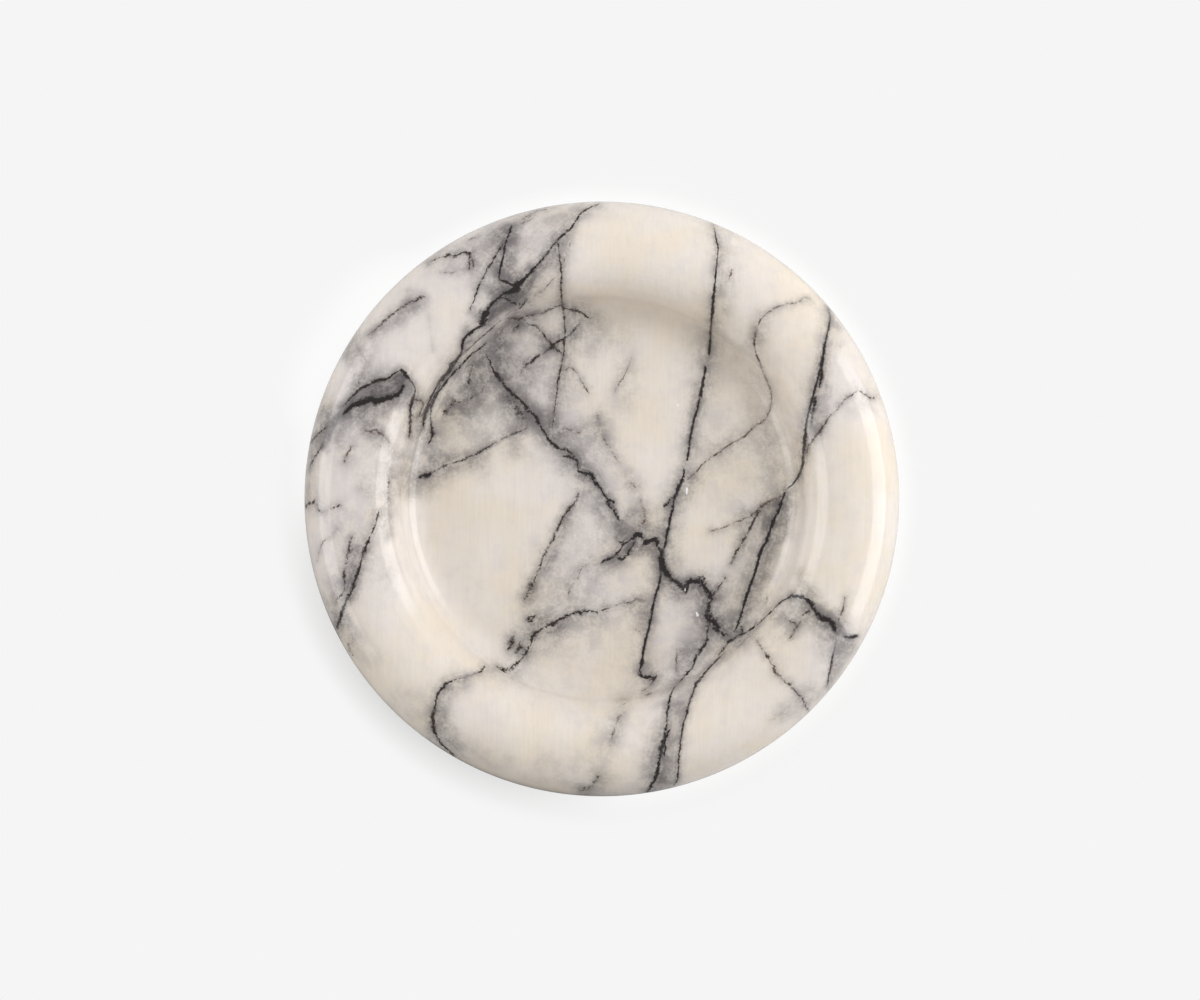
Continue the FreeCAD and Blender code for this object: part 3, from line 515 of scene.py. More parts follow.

# Smoke is a grey haze that darkens the stone. Some strokes are painted shade: beside the right wall of the
# well and on the outer side of the rim at the lower left.
SMOKE_AND_SHADE = [
    Cloud(0.4, 12, [(494, 238), (506, 232)]),
    Cloud(0.6, 12, [(520, 290), (500, 306), (490, 318)]),
    Cloud(0.2, 9, [(416, 440), (420, 462)]),
    Cloud(0.25, 9, [(406, 456), (412, 476)]),
    Cloud(0.85, 8, [(508, 400), (518, 412)]),
    Cloud(0.8, 9, [(504, 394), (516, 404), (526, 418)]),
    Cloud(0.6, 10, [(504, 284), (508, 296), (514, 316)]),
    Cloud(0.65, 8, [(500, 326), (502, 340)]),
    Cloud(0.5, 9, [(498, 246), (502, 266)]),
    Cloud(0.45, 8, [(480, 366), (500, 370)]),
    Cloud(0.35, 9, [(548, 256), (562, 230)]),
    Cloud(0.6, 8, [(362, 380), (368, 394)]),
    # Painted shade along the fillet on the upper right of the well.
    Cloud(0.12, 14, [(742, 350), (756, 400), (766, 450)]),
    Cloud(0.3, 8, [(578, 310), (590, 318)]),
    Cloud(0.1, 14, [(330, 518), (345, 516)]),
    Cloud(0.35, 7, [(582, 470), (590, 482)]),
    Cloud(0.25, 10, [(512, 434), (518, 450)]),
    Cloud(0.5, 7, [(788, 506), (784, 530)]),
    Cloud(0.5, 8, [(514, 410), (520, 420)]),
    Cloud(0.3, 9, [(462, 684), (446, 692)]),
    Cloud(0.3, 10, [(444, 728), (456, 744)]),
    Cloud(0.45, 7, [(568, 512), (556, 540), (548, 564)]),
    Cloud(0.35, 7, [(530, 586), (526, 596)]),
    Cloud(0.25, 9, [(628, 476), (634, 488)]),
    Cloud(0.35, 7, [(744, 516), (748, 528)]),
    Cloud(0.3, 9, [(440, 716), (436, 736)]),
    Cloud(0.3, 8, [(660, 780), (656, 792)]),
    Cloud(0.15, 18, [(704, 340), (706, 376)]),
    Cloud(0.25, 9, [(362, 484), (370, 490)]),
    Cloud(0.2, 10, [(444, 462), (478, 456)]),
    Cloud(0.25, 14, [(442, 412), (478, 414)]),
    Cloud(0.35, 8, [(624, 530), (622, 552)]),
    # Painted shade on the outer side of the rim at the lower left.
    Cloud(0.12, 18, [(560, 772), (545, 770)]),
    Cloud(0.4, 7, [(350, 412), (380, 406), (405, 398)]),
    Cloud(0.5, 7, [(418, 416), (420, 436)]),
    Cloud(0.3, 8, [(372, 430), (382, 440)]),
    Cloud(0.4, 7, [(344, 616), (338, 632)]),
    Cloud(0.25, 10, [(306, 470), (307, 490)]),
    Cloud(0.45, 7, [(684, 588), (700, 590), (712, 600)]),
    Cloud(0.25, 6, [(806, 588), (814, 594)]),
    Cloud(0.3, 8, [(562, 362), (566, 380)]),
    Cloud(0.45, 8, [(548, 344), (572, 338)]),
    Cloud(0.25, 8, [(718, 448), (734, 440)]),
    Cloud(0.35, 8, [(572, 456), (590, 474)]),
    Cloud(0.35, 9, [(450, 390), (482, 392)]),
    Cloud(0.35, 9, [(538, 416), (556, 434)]),
    Cloud(0.35, 10, [(486, 366), (500, 384)]),
    Cloud(0.4, 10, [(640, 512), (642, 530)]),
    Cloud(0.45, 10, [(632, 522), (650, 542)]),
    Cloud(0.35, 11, [(358, 412), (378, 414)]),
    Cloud(0.35, 9, [(552, 262), (560, 240)]),
    Cloud(0.3, 7, [(690, 592), (704, 596)]),
    Cloud(0.4, 9, [(822, 612), (836, 622)]),
    Cloud(0.3, 9, [(684, 650), (698, 650)]),
    # Painted shade at the right edge of the well floor, beside the wall.
    Cloud(0.12, 10, [(764, 430), (768, 470), (768, 520)]),
    Cloud(0.35, 8, [(522, 640), (540, 630)]),
    Cloud(0.2, 9, [(644, 600), (648, 622)]),
    Cloud(0.3, 9, [(372, 334), (395, 320), (414, 306)]),
    Cloud(0.35, 14, [(720, 596), (728, 616)]),
    Cloud(0.3, 9, [(752, 590), (748, 604)]),
    Cloud(0.15, 12, [(784, 614), (788, 630)]),
    Cloud(0.3, 9, [(762, 318), (757, 336)]),
    Cloud(0.12, 20, [(604, 742), (592, 776)]),
    Cloud(0.1, 10, [(850, 406), (872, 408)]),
    Cloud(0.15, 14, [(626, 372), (624, 400)]),
    Cloud(0.25, 9, [(680, 500), (678, 525)]),
    Cloud(0.5, 8, [(782, 510), (772, 545), (764, 575)]),
    Cloud(0.35, 12, [(322, 410), (332, 428)]),
    Cloud(0.75, 9, [(510, 236), (508, 256), (506, 280)]),
    Cloud(0.15, 16, [(462, 264), (484, 262)]),
    Cloud(0.2, 14, [(536, 226), (556, 216)]),
    Cloud(0.55, 9, [(534, 270), (520, 286), (506, 294)]),
    Cloud(0.4, 13, [(530, 284), (524, 304)]),
    Cloud(0.6, 11, [(508, 324), (500, 338), (498, 352)]),
    Cloud(0.45, 9, [(506, 352), (500, 364)]),
    Cloud(0.3, 26, [(476, 378), (520, 350), (545, 396)]),
    Cloud(0.25, 16, [(588, 326), (592, 344)]),
    Cloud(0.18, 22, [(585, 430), (598, 460)]),
    Cloud(0.4, 10, [(478, 374), (472, 400)]),
    Cloud(0.35, 10, [(452, 404), (470, 416)]),
    Cloud(0.4, 8, [(503, 372), (512, 378)]),
    Cloud(0.4, 10, [(552, 424), (568, 442)]),
    Cloud(0.15, 9, [(420, 302), (404, 310)]),
    Cloud(0.3, 12, [(352, 344), (364, 358)]),
    Cloud(0.35, 12, [(388, 474), (412, 488), (440, 474)]),
    Cloud(0.3, 10, [(434, 436), (430, 462)]),
    Cloud(0.25, 9, [(600, 416), (604, 436)]),
    Cloud(0.25, 8, [(580, 470), (592, 478)]),
    Cloud(0.4, 9, [(608, 506), (620, 524)]),
    Cloud(0.4, 12, [(626, 524), (644, 546)]),
    Cloud(0.4, 8, [(628, 550), (614, 560)]),
    Cloud(0.35, 9, [(664, 516), (658, 544)]),
    Cloud(0.25, 10, [(690, 478), (684, 494)]),
    Cloud(0.2, 24, [(556, 566), (580, 592)]),
    Cloud(0.5, 7, [(532, 582), (527, 596)]),
    Cloud(0.6, 9, [(538, 622), (556, 628)]),
    Cloud(0.15, 8, [(558, 628), (596, 618)]),
    Cloud(0.6, 8, [(518, 640), (524, 650)]),
    Cloud(0.25, 8, [(644, 602), (645, 624)]),
    Cloud(0.65, 9, [(668, 584), (690, 594)]),
    Cloud(0.4, 7, [(704, 592), (706, 606)]),
    Cloud(0.6, 9, [(714, 622), (726, 630)]),
    Cloud(0.15, 12, [(694, 618), (694, 640)]),
    Cloud(0.35, 8, [(704, 644), (694, 660)]),
    Cloud(0.25, 9, [(648, 668), (654, 678)]),
    Cloud(0.2, 26, [(460, 415), (490, 425)]),
    Cloud(0.3, 10, [(436, 458), (480, 466)]),
    Cloud(0.25, 18, [(520, 360), (535, 395)]),
    Cloud(0.1, 16, [(600, 334), (625, 338)]),
    Cloud(0.08, 26, [(600, 535), (604, 575)]),
    Cloud(0.2, 9, [(672, 545), (676, 562)]),
    Cloud(0.3, 12, [(560, 605), (545, 645)]),
    Cloud(0.35, 8, [(492, 288), (506, 286)]),
    Cloud(0.3, 14, [(365, 388), (380, 378)]),
    Cloud(0.1, 34, [(715, 430), (735, 490)]),
    Cloud(0.1, 22, [(560, 645), (630, 642)]),
    Cloud(0.4, 8, [(778, 504), (766, 530)]),
    Cloud(0.3, 12, [(756, 516), (746, 540)]),
    Cloud(0.35, 5, [(786, 528), (780, 540)]),
    Cloud(0.25, 10, [(752, 570), (744, 606)]),
    Cloud(0.25, 8, [(702, 380), (696, 412)]),
    Cloud(0.12, 26, [(346, 430), (352, 450)]),
    Cloud(0.35, 10, [(366, 416), (374, 428)]),
    Cloud(0.3, 8, [(318, 436), (312, 452)]),
    Cloud(0.45, 8, [(361, 548), (348, 596)]),
    Cloud(0.2, 12, [(336, 584), (332, 616)]),
    Cloud(0.25, 8, [(678, 706), (672, 736)]),
    Cloud(0.35, 8, [(666, 762), (660, 786)]),
    Cloud(0.3, 8, [(652, 742), (648, 776)]),
    Cloud(0.25, 7, [(840, 648), (834, 676)]),
    Cloud(0.6, 9, [(812, 612), (832, 630)]),
    Cloud(0.2, 8, [(448, 690), (440, 720), (446, 738)]),
    Cloud(0.2, 10, [(622, 704), (614, 736)]),
    Cloud(0.2, 12, [(602, 782), (588, 790)]),
    Cloud(0.15, 9, [(722, 284), (722, 308)]),
    Cloud(0.2, 8, [(824, 412), (818, 428)]),
    Cloud(0.4, 7, [(500, 284), (510, 292)]),
    Cloud(0.45, 8, [(510, 308), (518, 314)]),
    Cloud(0.35, 7, [(468, 330), (472, 340)]),
    Cloud(0.35, 9, [(484, 366), (516, 368)]),
    Cloud(0.3, 8, [(474, 390), (486, 394)]),
    Cloud(0.45, 7, [(560, 338), (568, 344)]),
    Cloud(0.3, 9, [(352, 358), (360, 366)]),
    Cloud(0.45, 8, [(696, 588), (706, 594)]),
    Cloud(0.25, 9, [(544, 422), (552, 436)]),
    Cloud(0.2, 9, [(580, 428), (596, 434)]),
    Cloud(0.25, 8, [(628, 532), (624, 548)]),
    Cloud(0.15, 10, [(590, 566), (600, 574)]),
    Cloud(0.2, 9, [(752, 588), (752, 604)]),
    Cloud(0.15, 10, [(780, 612), (790, 618)]),
    Cloud(0.2, 8, [(686, 480), (694, 484)]),
    Cloud(0.2, 8, [(735, 640), (748, 630)]),
    Cloud(0.3, 9, [(326, 424), (330, 444)]),
    Cloud(0.2, 7, [(408, 294), (408, 306)]),
    Cloud(0.2, 8, [(476, 276), (480, 284)]),
    Cloud(0.2, 8, [(530, 248), (532, 258)]),
    Cloud(0.25, 7, [(570, 214), (582, 210)]),
    Cloud(0.45, 7, [(512, 642), (520, 647)]),
    Cloud(0.28, 7, [(389, 490), (388, 534)]),
    Cloud(0.25, 9, [(346, 626), (354, 636)]),
    Cloud(0.25, 8, [(834, 328), (836, 344)]),
    Cloud(0.3, 7, [(814, 412), (816, 432)]),
    Cloud(0.25, 8, [(802, 576), (806, 588)]),
    Cloud(0.3, 7, [(848, 642), (852, 652)]),
    Cloud(0.15, 9, [(738, 630), (742, 638)]),
    Cloud(0.12, 10, [(768, 618), (776, 634)]),
    Cloud(0.2, 10, [(784, 712), (800, 704)]),
    Cloud(0.2, 8, [(810, 688), (814, 698)]),
    Cloud(0.4, 9, [(514, 304), (522, 318)]),
    Cloud(0.3, 9, [(508, 332), (532, 330)]),
    Cloud(0.35, 8, [(506, 284), (510, 294)]),
    # Painted shade at the right edge of the well floor, beside the wall.
    Cloud(0.15, 12, [(776, 440), (778, 470)]),
    Cloud(0.2, 8, [(752, 520), (752, 532)]),
    Cloud(0.35, 9, [(628, 524), (636, 538)]),
    Cloud(0.12, 16, [(368, 552), (385, 572)]),
    # The next three strokes are painted shade on the outer side of the rim at the lower left.
    Cloud(0.12, 14, [(404, 702), (430, 712)]),
    Cloud(0.12, 10, [(468, 752), (505, 760)]),
    Cloud(0.12, 12, [(352, 640), (372, 660)]),
    Cloud(0.4, 7, [(360, 388), (368, 392)]),
    Cloud(0.5, 7, [(408, 396), (420, 402)]),
    Cloud(0.25, 9, [(330, 415), (326, 440)]),
    Cloud(0.25, 8, [(384, 446), (396, 456)]),
    Cloud(0.2, 9, [(448, 256), (484, 252)]),
    Cloud(0.3, 8, [(500, 248), (502, 258)]),
    Cloud(0.35, 9, [(482, 366), (500, 366)]),
    Cloud(0.3, 8, [(470, 392), (486, 392)]),
    Cloud(0.3, 7, [(560, 338), (572, 340)]),
    Cloud(0.25, 8, [(826, 640), (828, 656)]),
    Cloud(0.3, 7, [(680, 586), (704, 590)]),
    Cloud(0.25, 9, [(732, 628), (740, 636)]),
    Cloud(0.2, 9, [(752, 580), (756, 598)]),
    Cloud(0.25, 8, [(538, 630), (548, 626)]),
    Cloud(0.15, 7, [(662, 732), (658, 790)]),
    Cloud(0.2, 8, [(690, 436), (694, 450)]),
    Cloud(0.3, 8, [(540, 418), (552, 432)]),
    Cloud(0.15, 10, [(600, 610), (640, 606)]),
    Cloud(0.1, 9, [(664, 660), (698, 654)]),
    Cloud(0.04, 9, [(520, 676), (580, 688), (645, 684)]),
    Cloud(0.2, 8, [(566, 470), (590, 484)]),
    Cloud(0.5, 6, [(494, 292), (508, 284)]),
    Cloud(0.3, 6, [(500, 252), (498, 270)]),
    Cloud(0.25, 8, [(546, 262), (554, 254)]),
    Cloud(0.4, 8, [(628, 528), (634, 536)]),
    Cloud(0.25, 8, [(598, 510), (604, 524)]),
    Cloud(0.3, 6, [(824, 386), (826, 394)]),
    Cloud(0.25, 7, [(814, 414), (816, 428)]),
    Cloud(0.3, 7, [(828, 622), (842, 624)]),
    Cloud(0.3, 6, [(686, 588), (700, 588)]),
    Cloud(0.5, 5, [(344, 409), (334, 420), (328, 432), (323, 446)]),
]
# Clear gaps thin the smoke out again.
CLEAR = [
    Cloud(0.6, 9, [(526, 338), (517, 350)]),
    Cloud(0.5, 8, [(545, 322), (556, 326)]),
    Cloud(0.4, 8, [(582, 346), (592, 336)]),
    Cloud(0.4, 10, [(480, 418), (494, 424)]),
    Cloud(0.75, 5, [(504, 318), (484, 336), (466, 356)]),
    Cloud(0.4, 9, [(540, 384), (546, 402)]),
    Cloud(0.6, 8, [(420, 372), (434, 384), (432, 404)]),
    Cloud(0.5, 8, [(392, 430), (404, 446)]),
    Cloud(0.6, 9, [(470, 666), (486, 660), (499, 654)]),
    Cloud(0.45, 8, [(564, 566), (576, 558)]),
    Cloud(0.4, 7, [(530, 568), (532, 576)]),
    Cloud(0.4, 7, [(528, 448), (550, 454), (572, 446)]),
    Cloud(0.35, 6, [(588, 458), (596, 468)]),
    Cloud(0.5, 9, [(612, 640), (620, 650)]),
    Cloud(0.5, 7, [(640, 640), (638, 660)]),
    Cloud(0.4, 7, [(360, 368), (374, 366)]),
    Cloud(0.4, 7, [(714, 660), (726, 654)]),
    Cloud(0.4, 6, [(678, 464), (686, 462)]),
    Cloud(0.4, 9, [(570, 418), (605, 404)]),
    Cloud(0.4, 6, [(618, 512), (622, 520)]),
    Cloud(0.4, 7, [(556, 512), (558, 528)]),
    Cloud(0.3, 7, [(645, 504), (660, 506)]),
    Cloud(0.3, 16, [(714, 490), (720, 530)]),
    Cloud(0.4, 7, [(430, 404), (434, 416)]),
    Cloud(0.4, 7, [(452, 328), (454, 342)]),
    Cloud(0.35, 9, [(540, 384), (558, 358)]),
    Cloud(0.3, 8, [(540, 655), (560, 652)]),
    Cloud(0.3, 6, [(690, 466), (712, 458)]),
    Cloud(0.3, 7, [(832, 672), (836, 684)]),
    Cloud(0.4, 7, [(366, 526), (368, 542)]),
    Cloud(0.3, 8, [(596, 586), (600, 594)]),
    Cloud(0.3, 6, [(648, 596), (650, 606)]),
    Cloud(0.35, 7, [(490, 398), (502, 390)]),
]
# Milk is a cool white haze.
MILK = [
    Cloud(0.9, 42, [(350, 580), (340, 500), (350, 420), (400, 320), (470, 260), (530, 240)]),
    Cloud(0.9, 40, [(500, 340), (540, 380), (570, 440), (600, 500)]),
    Cloud(0.8, 30, [(600, 590), (560, 560)]),
    Cloud(0.8, 34, [(690, 600), (680, 650)]),
    Cloud(0.4, 26, [(740, 270), (760, 300)]),
    Cloud(0.8, 26, [(845, 370), (830, 410)]),
    Cloud(0.8, 24, [(835, 645), (800, 680)]),
    Cloud(0.6, 24, [(670, 700), (660, 780)]),
    Cloud(0.6, 26, [(460, 700), (480, 720)]),
]
# Amber is a warm stain; its first three strokes, along the upper right wall of the well, are painted warm
# shade.
AMBER_AND_WARM_SHADE = [
    Cloud(0.8, 18, [(600, 314), (660, 314), (712, 342), (746, 386), (758, 416)]),
    Cloud(0.65, 12, [(752, 330), (772, 362), (796, 404)]),
    Cloud(0.75, 14, [(706, 314), (722, 316)]),
    Cloud(0.45, 20, [(762, 682), (788, 668)]),
    Cloud(0.25, 30, [(490, 745), (565, 752)]),
]
PATCHES = {
    "lens": Patch(0.85, [
        (346, 408), (352, 397), (358, 391), (363, 388), (370, 385), (378, 381), (386, 380), (392, 376),
        (398, 372), (403, 372), (408, 378), (406, 383), (404, 387), (400, 393), (394, 397), (386, 399),
        (376, 402), (366, 402), (356, 405)]),
    "lens_tip": Patch(0.45, [
        (406, 384), (410, 381), (414, 387), (414, 395), (411, 401), (405, 398), (404, 391)]),
    "lens_tail": Patch(0.7, [
        (348, 406), (340, 411), (333, 417), (328, 423), (326, 430), (323, 439), (320, 448), (324, 449),
        (328, 442), (332, 433), (337, 424), (343, 417), (349, 412)]),
    "blue_lens": Patch(0.68, [
        (495, 301), (503, 297), (511, 293), (518, 292), (519, 297), (518, 303), (512, 307), (505, 311),
        (497, 316), (490, 320), (489, 314)]),
    "corner": Patch(0.45, [
        (485, 236), (495, 229), (505, 224), (511, 223), (508, 234), (504, 240), (495, 237)]),
    "floor_box": Patch(0.5, [(606, 499), (615, 499), (615, 510), (608, 508)]),
    "peak_shade": Patch(0.6, [
        (613, 529), (618, 522), (624, 520), (627, 525), (634, 529), (637, 536), (628, 539), (620, 543),
        (612, 538), (618, 533)]),
    "peak_fill": Patch(0.6, [(636, 537), (626, 545), (618, 556), (618, 560), (626, 556), (633, 546)]),
    "right_rim_fill": Patch(0.6, [(824, 352), (823, 365), (821, 384), (816, 386), (819, 372), (822, 358)]),
    "spur_fill": Patch(0.3, [(675, 494), (673, 506), (666, 512), (663, 507), (668, 500)]),
    "shoulder_gap": Patch(0.6, [(834, 623), (841, 624), (848, 634), (847, 639), (838, 636), (833, 631)]),
    "floor_wedge": Patch(0.4, [(763, 504), (783, 496), (775, 520), (762, 535)]),
    "knot_shade": Patch(0.6, [
        (500, 283), (512, 288), (522, 290), (528, 282), (536, 276), (530, 290), (520, 300), (505, 294)]),
    "bottom_band": Patch(0.2, [
        (674, 700), (690, 700), (688, 712), (683, 735), (680, 757), (676, 784), (658, 784), (662, 752),
        (667, 725), (671, 708)]),
    "edge_band": Patch(0.2, [(838, 640), (858, 640), (850, 656), (840, 674), (829, 687), (832, 660)]),
}


class Value:
    """A node's output that takes part in Python sums: each sum adds a Math node to the tree."""

    def __init__(self, graph, socket):
        self.graph = graph
        self.socket = socket

    def sibling(self, output):
        """Another output of the same node."""
        return Value(self.graph, self.socket.node.outputs[output])

    def maths(self, operation, *others):
        return self.graph.maths(operation, self, *others)

    def __add__(self, other):
        return self.maths("ADD", other)

    def __sub__(self, other):
        return self.maths("SUBTRACT", other)

    def __mul__(self, other):
        return self.maths("MULTIPLY", other)

    def __truediv__(self, other):
        return self.maths("DIVIDE", other)

    def __rsub__(self, other):
        return self.graph.maths("SUBTRACT", other, self)

    def __rtruediv__(self, other):
        return self.graph.maths("DIVIDE", other, self)

    __radd__ = __add__
    __rmul__ = __mul__


class Graph:
    """A node tree under construction, for a material or for Geometry Nodes."""

    def __init__(self, tree):
        self.tree = tree

    def node(self, kind, settings=None, inputs=None, output=0):
        """Adds a node: its settings first, then the values or links of its sockets. Returns one output."""
        made = self.tree.nodes.new(kind)
        for name, setting in (settings or {}).items():
            setattr(made, name, setting)
        for name, given in (inputs or {}).items():
            for one in given if isinstance(given, list) else [given]:
                if isinstance(one, Value):
                    self.tree.links.new(one.socket, made.inputs[name])
                else:
                    made.inputs[name].default_value = one
        return Value(self, made.outputs[output]) if made.outputs else None

    def maths(self, operation, *values):
        return self.node("ShaderNodeMath", {"operation": operation}, dict(enumerate(values)))

    def vector(self, operation, *values):
        return self.node("ShaderNodeVectorMath", {"operation": operation}, dict(enumerate(values)))

    def scaled(self, vector, factor):
        return self.node("ShaderNodeVectorMath", {"operation": "SCALE"}, {"Vector": vector, "Scale": factor})

    def split(self, vector):
        """The three parts of a vector."""
        first = self.node("ShaderNodeSeparateXYZ", None, {"Vector": vector})
        return first, first.sibling(1), first.sibling(2)

    def joined(self, x, y, z):
        return self.node("ShaderNodeCombineXYZ", None, {"X": x, "Y": y, "Z": z})

    def ramp(self, value, start, end, low=0.0, high=1.0):
        """Runs smoothly from low, where the value is start, to high, where it is end."""
        sockets = {"Value": value, "From Min": start, "From Max": end, "To Min": low, "To Max": high}
        return self.node("ShaderNodeMapRange", {"interpolation_type": "SMOOTHSTEP"}, sockets)

    def blend(self, factor, first, second):
        """Mixes two colours."""
        settings = {"data_type": "RGBA", "clamp_factor": True}
        return self.node("ShaderNodeMix", settings, {0: factor, 6: first, 7: second}, output=2)

    def noise(self, place, size, detail=2.0, roughness=0.5, shift=0.0, output="Fac"):
        """Noise whose lumps are about the given size, in the units of place."""
        moved = self.vector("ADD", place, (shift, shift, shift)) if shift else place
        sockets = {"Vector": moved, "Scale": 1 / size, "Detail": detail, "Roughness": roughness}
        return self.node("ShaderNodeTexNoise", None, sockets, output)

    def shake(self, place, size, detail, shift):
        """Noise that pushes a place about, by half a unit at most along each axis."""
        return self.vector("SUBTRACT", self.noise(place, size, detail, 0.5, shift, "Color"), (0.5, 0.5, 0.5))

    def attribute(self, name, output="Vector"):
        return self.node("ShaderNodeAttribute", {"attribute_name": name}, output=output)


def colour(hex_text):
    """A display colour such as e6dccb as a linear one, with full alpha."""
    parts = [int(hex_text[i:i + 2], 16) / 255 for i in (0, 2, 4)]
    return (*[((p + 0.055) / 1.055) ** 2.4 for p in parts], 1.0)


def new_material(name):
    """An empty node material and its graph."""
    material = bpy.data.materials.new(name)
    material.use_nodes = True
    material.node_tree.nodes.clear()
    return material, Graph(material.node_tree)


# What makes the veins uneven: two sizes of sideways push, the swelling of their width, and their breaks.
Unevenness = namedtuple("Unevenness", "sway fray swell breaks")


def vein_unevenness(graph, place, grit):
    swell = graph.ramp(graph.noise(place, 1.0, 3.0, 0.7, 41.0), 0.3, 0.7, 0.4, 1.35)
    breaks = (graph.noise(place, 1.8, 3.0, 0.65, 73.0) - 0.5) * 1.7 + (grit - 0.5) * 0.8
    return Unevenness(graph.shake(place, 1.1, 1.0, 17.0), graph.shake(place, 0.5, 1.0, 29.0), swell, breaks)


def draw_veins(graph, layer, uneven):
    """A layer of veins: how dark its cores are, its soft edges, and how brown it is."""
    across_x, across_y, half_width = graph.split(graph.attribute(f"{layer}_offset"))
    ink, brown, jag = graph.split(graph.attribute(f"{layer}_nature"))
    apart = graph.attribute(f"{layer}_apart", "Fac")
    swayed = graph.scaled(uneven.sway, jag * 1.4)
    wander = graph.vector("ADD", swayed, graph.scaled(uneven.fray, jag * 0.9 + 0.16))
    stray_x, stray_y, _ = graph.split(wander)
    x = across_x + stray_x
    y = across_y + stray_y
    # Between two veins the offsets of neighbouring vertices point different ways; the true gap tells.
    distance = (x * x + y * y).maths("SQRT").maths("MAXIMUM", apart - 0.45 - jag * 0.4)
    steps = distance / (half_width * uneven.swell + 0.02)
    # The third power keeps thin veins soft and gives broad ones a clear edge.
    core = (steps * steps * steps * -1.0).maths("EXPONENT") * 1.25
    solid = graph.ramp(ink * 1.5 - 0.4 + uneven.breaks, 0.3, 1.0)
    edge = (distance / (half_width + 0.35) * -0.9).maths("EXPONENT")
    return core * solid, edge * (solid * 0.6 + 0.4) * ink * 0.42, brown


def marble_material(colours):
    """Polished marble: cream stone, milky and smoky clouds, dark veins and brown hairlines, with painted
    shade and painted warm shade in places.
    """
    material, graph = new_material("polished_marble")
    place = graph.scaled(graph.node("ShaderNodeTexCoord", output="Object"), 1 / MM)
    smoke_and_shade, milk, outside = graph.split(graph.attribute("clouds"))
    filling = graph.attribute("patch_strength", "Fac")

    broad = graph.noise(place, 12.0, 3.0, 0.5)
    drift = graph.shake(place, 4.0, 2.0, 51.0)
    lumps = graph.noise(graph.vector("ADD", place, graph.scaled(drift, 1.6)), 3.4, 4.0, 0.55, 5.0)
    grit = graph.noise(place, 0.6, 3.0, 0.65, 9.0)
    # Close to a vein the smoke is drawn out into streaks along it.
    apart = graph.attribute("main_apart", "Fac")
    across, down, _ = graph.split(place)
    flow = graph.noise(graph.joined(apart, across * 0.12, down * 0.12), 0.7, 3.0, 0.6, 61.0)
    streaks = (flow - 0.5) * (apart * -0.25).maths("EXPONENT")
    mottle = lumps + (grit - 0.5) * 0.5 + streaks * 0.6
    # The stone's grain runs along Y: threads of slightly different tone.
    stretched = graph.vector("MULTIPLY", place, (1.0, 0.06, 0.3))
    threads = (graph.noise(stretched, 0.55, 3.0, 0.6, 3.0) * 0.7
               + graph.noise(stretched, 1.8, 2.0, 0.5, 7.0) * 0.3)

    cream = graph.blend(graph.ramp(broad, 0.35, 0.65), tuple(colours.cream), tuple(colours.deep_cream))
    veiled = milk * graph.ramp(mottle, 0.2, 0.6, 0.6, 1.0) + graph.ramp(lumps, 0.5, 0.75, 0.0, 0.5)
    veil = graph.blend(veiled, cream, tuple(colours.milk))
    # Warm stains, and painted warm shade on the upper right wall of the well.
    pale = graph.blend(graph.attribute("warm_stain_and_shade", "Fac"), veil, tuple(colours.amber_and_warm_shade))
    patchy = graph.ramp(mottle, 0.3, 0.7, 0.6, 1.7)
    inside = graph.ramp(outside + (mottle - 0.5) * 2.0, 0.35, -0.45)
    fill = inside * filling * graph.ramp(mottle, 0.3, 0.7, 0.7, 1.15)
    smoke_and_shade_amount = (smoke_and_shade + 0.02) * patchy + graph.ramp(threads, 0.35, 0.7, 0.0, 0.04)
    # Thick smoke darkens ever more slowly, so that it keeps its mottling.
    cloudy = 1 - (smoke_and_shade_amount * -1.3).maths("EXPONENT")
    shaded = graph.blend(1 - (1 - cloudy) * (1 - fill), pale, tuple(colours.smoke_and_shade))

    uneven = vein_unevenness(graph, place, grit)
    for layer in ("main", "second", "hairline"):
        core, edge, brown = draw_veins(graph, layer, uneven)
        soft = graph.blend(brown, tuple(colours.smoke_and_shade), tuple(colours.rust))
        dark = graph.blend(brown, tuple(colours.vein), tuple(colours.rust))
        shaded = graph.blend(core, graph.blend(edge * patchy, shaded, soft), dark)
    core, _, _ = draw_veins(graph, "fleck", uneven)
    shaded = graph.blend(core, shaded, tuple(colours.fleck))

    # The polish left faint rings on the wall of the well.
    radius = (across * across + down * down).maths("SQRT")
    rings = graph.noise(graph.joined(radius, across * 0.02, down * 0.02), 1.3, 2.0, 0.5, 33.0)
    on_wall = graph.ramp(radius, RINGS_START, RINGS_FULL) * graph.ramp(radius, RINGS_END, RINGS_THIN)
    polish = graph.node("ShaderNodeBump", None, {
        "Strength": 0.8, "Distance": RING_HEIGHT, "Height": (rings - 0.5) * on_wall})

    surface = graph.node("ShaderNodeBsdfPrincipled", {"subsurface_method": "RANDOM_WALK"}, {
        "Base Color": shaded,
        "Normal": polish,
        "Roughness": graph.ramp(lumps, 0.3, 0.7, 0.07, 0.1),
        "Specular IOR Level": 0.5,
        "Subsurface Weight": 0.15,
        "Subsurface Radius": (1.0, 0.8, 0.6),
        "Subsurface Scale": 1.0 * MM,
    })
    graph.node("ShaderNodeOutputMaterial", None, {"Surface": surface})
    return material


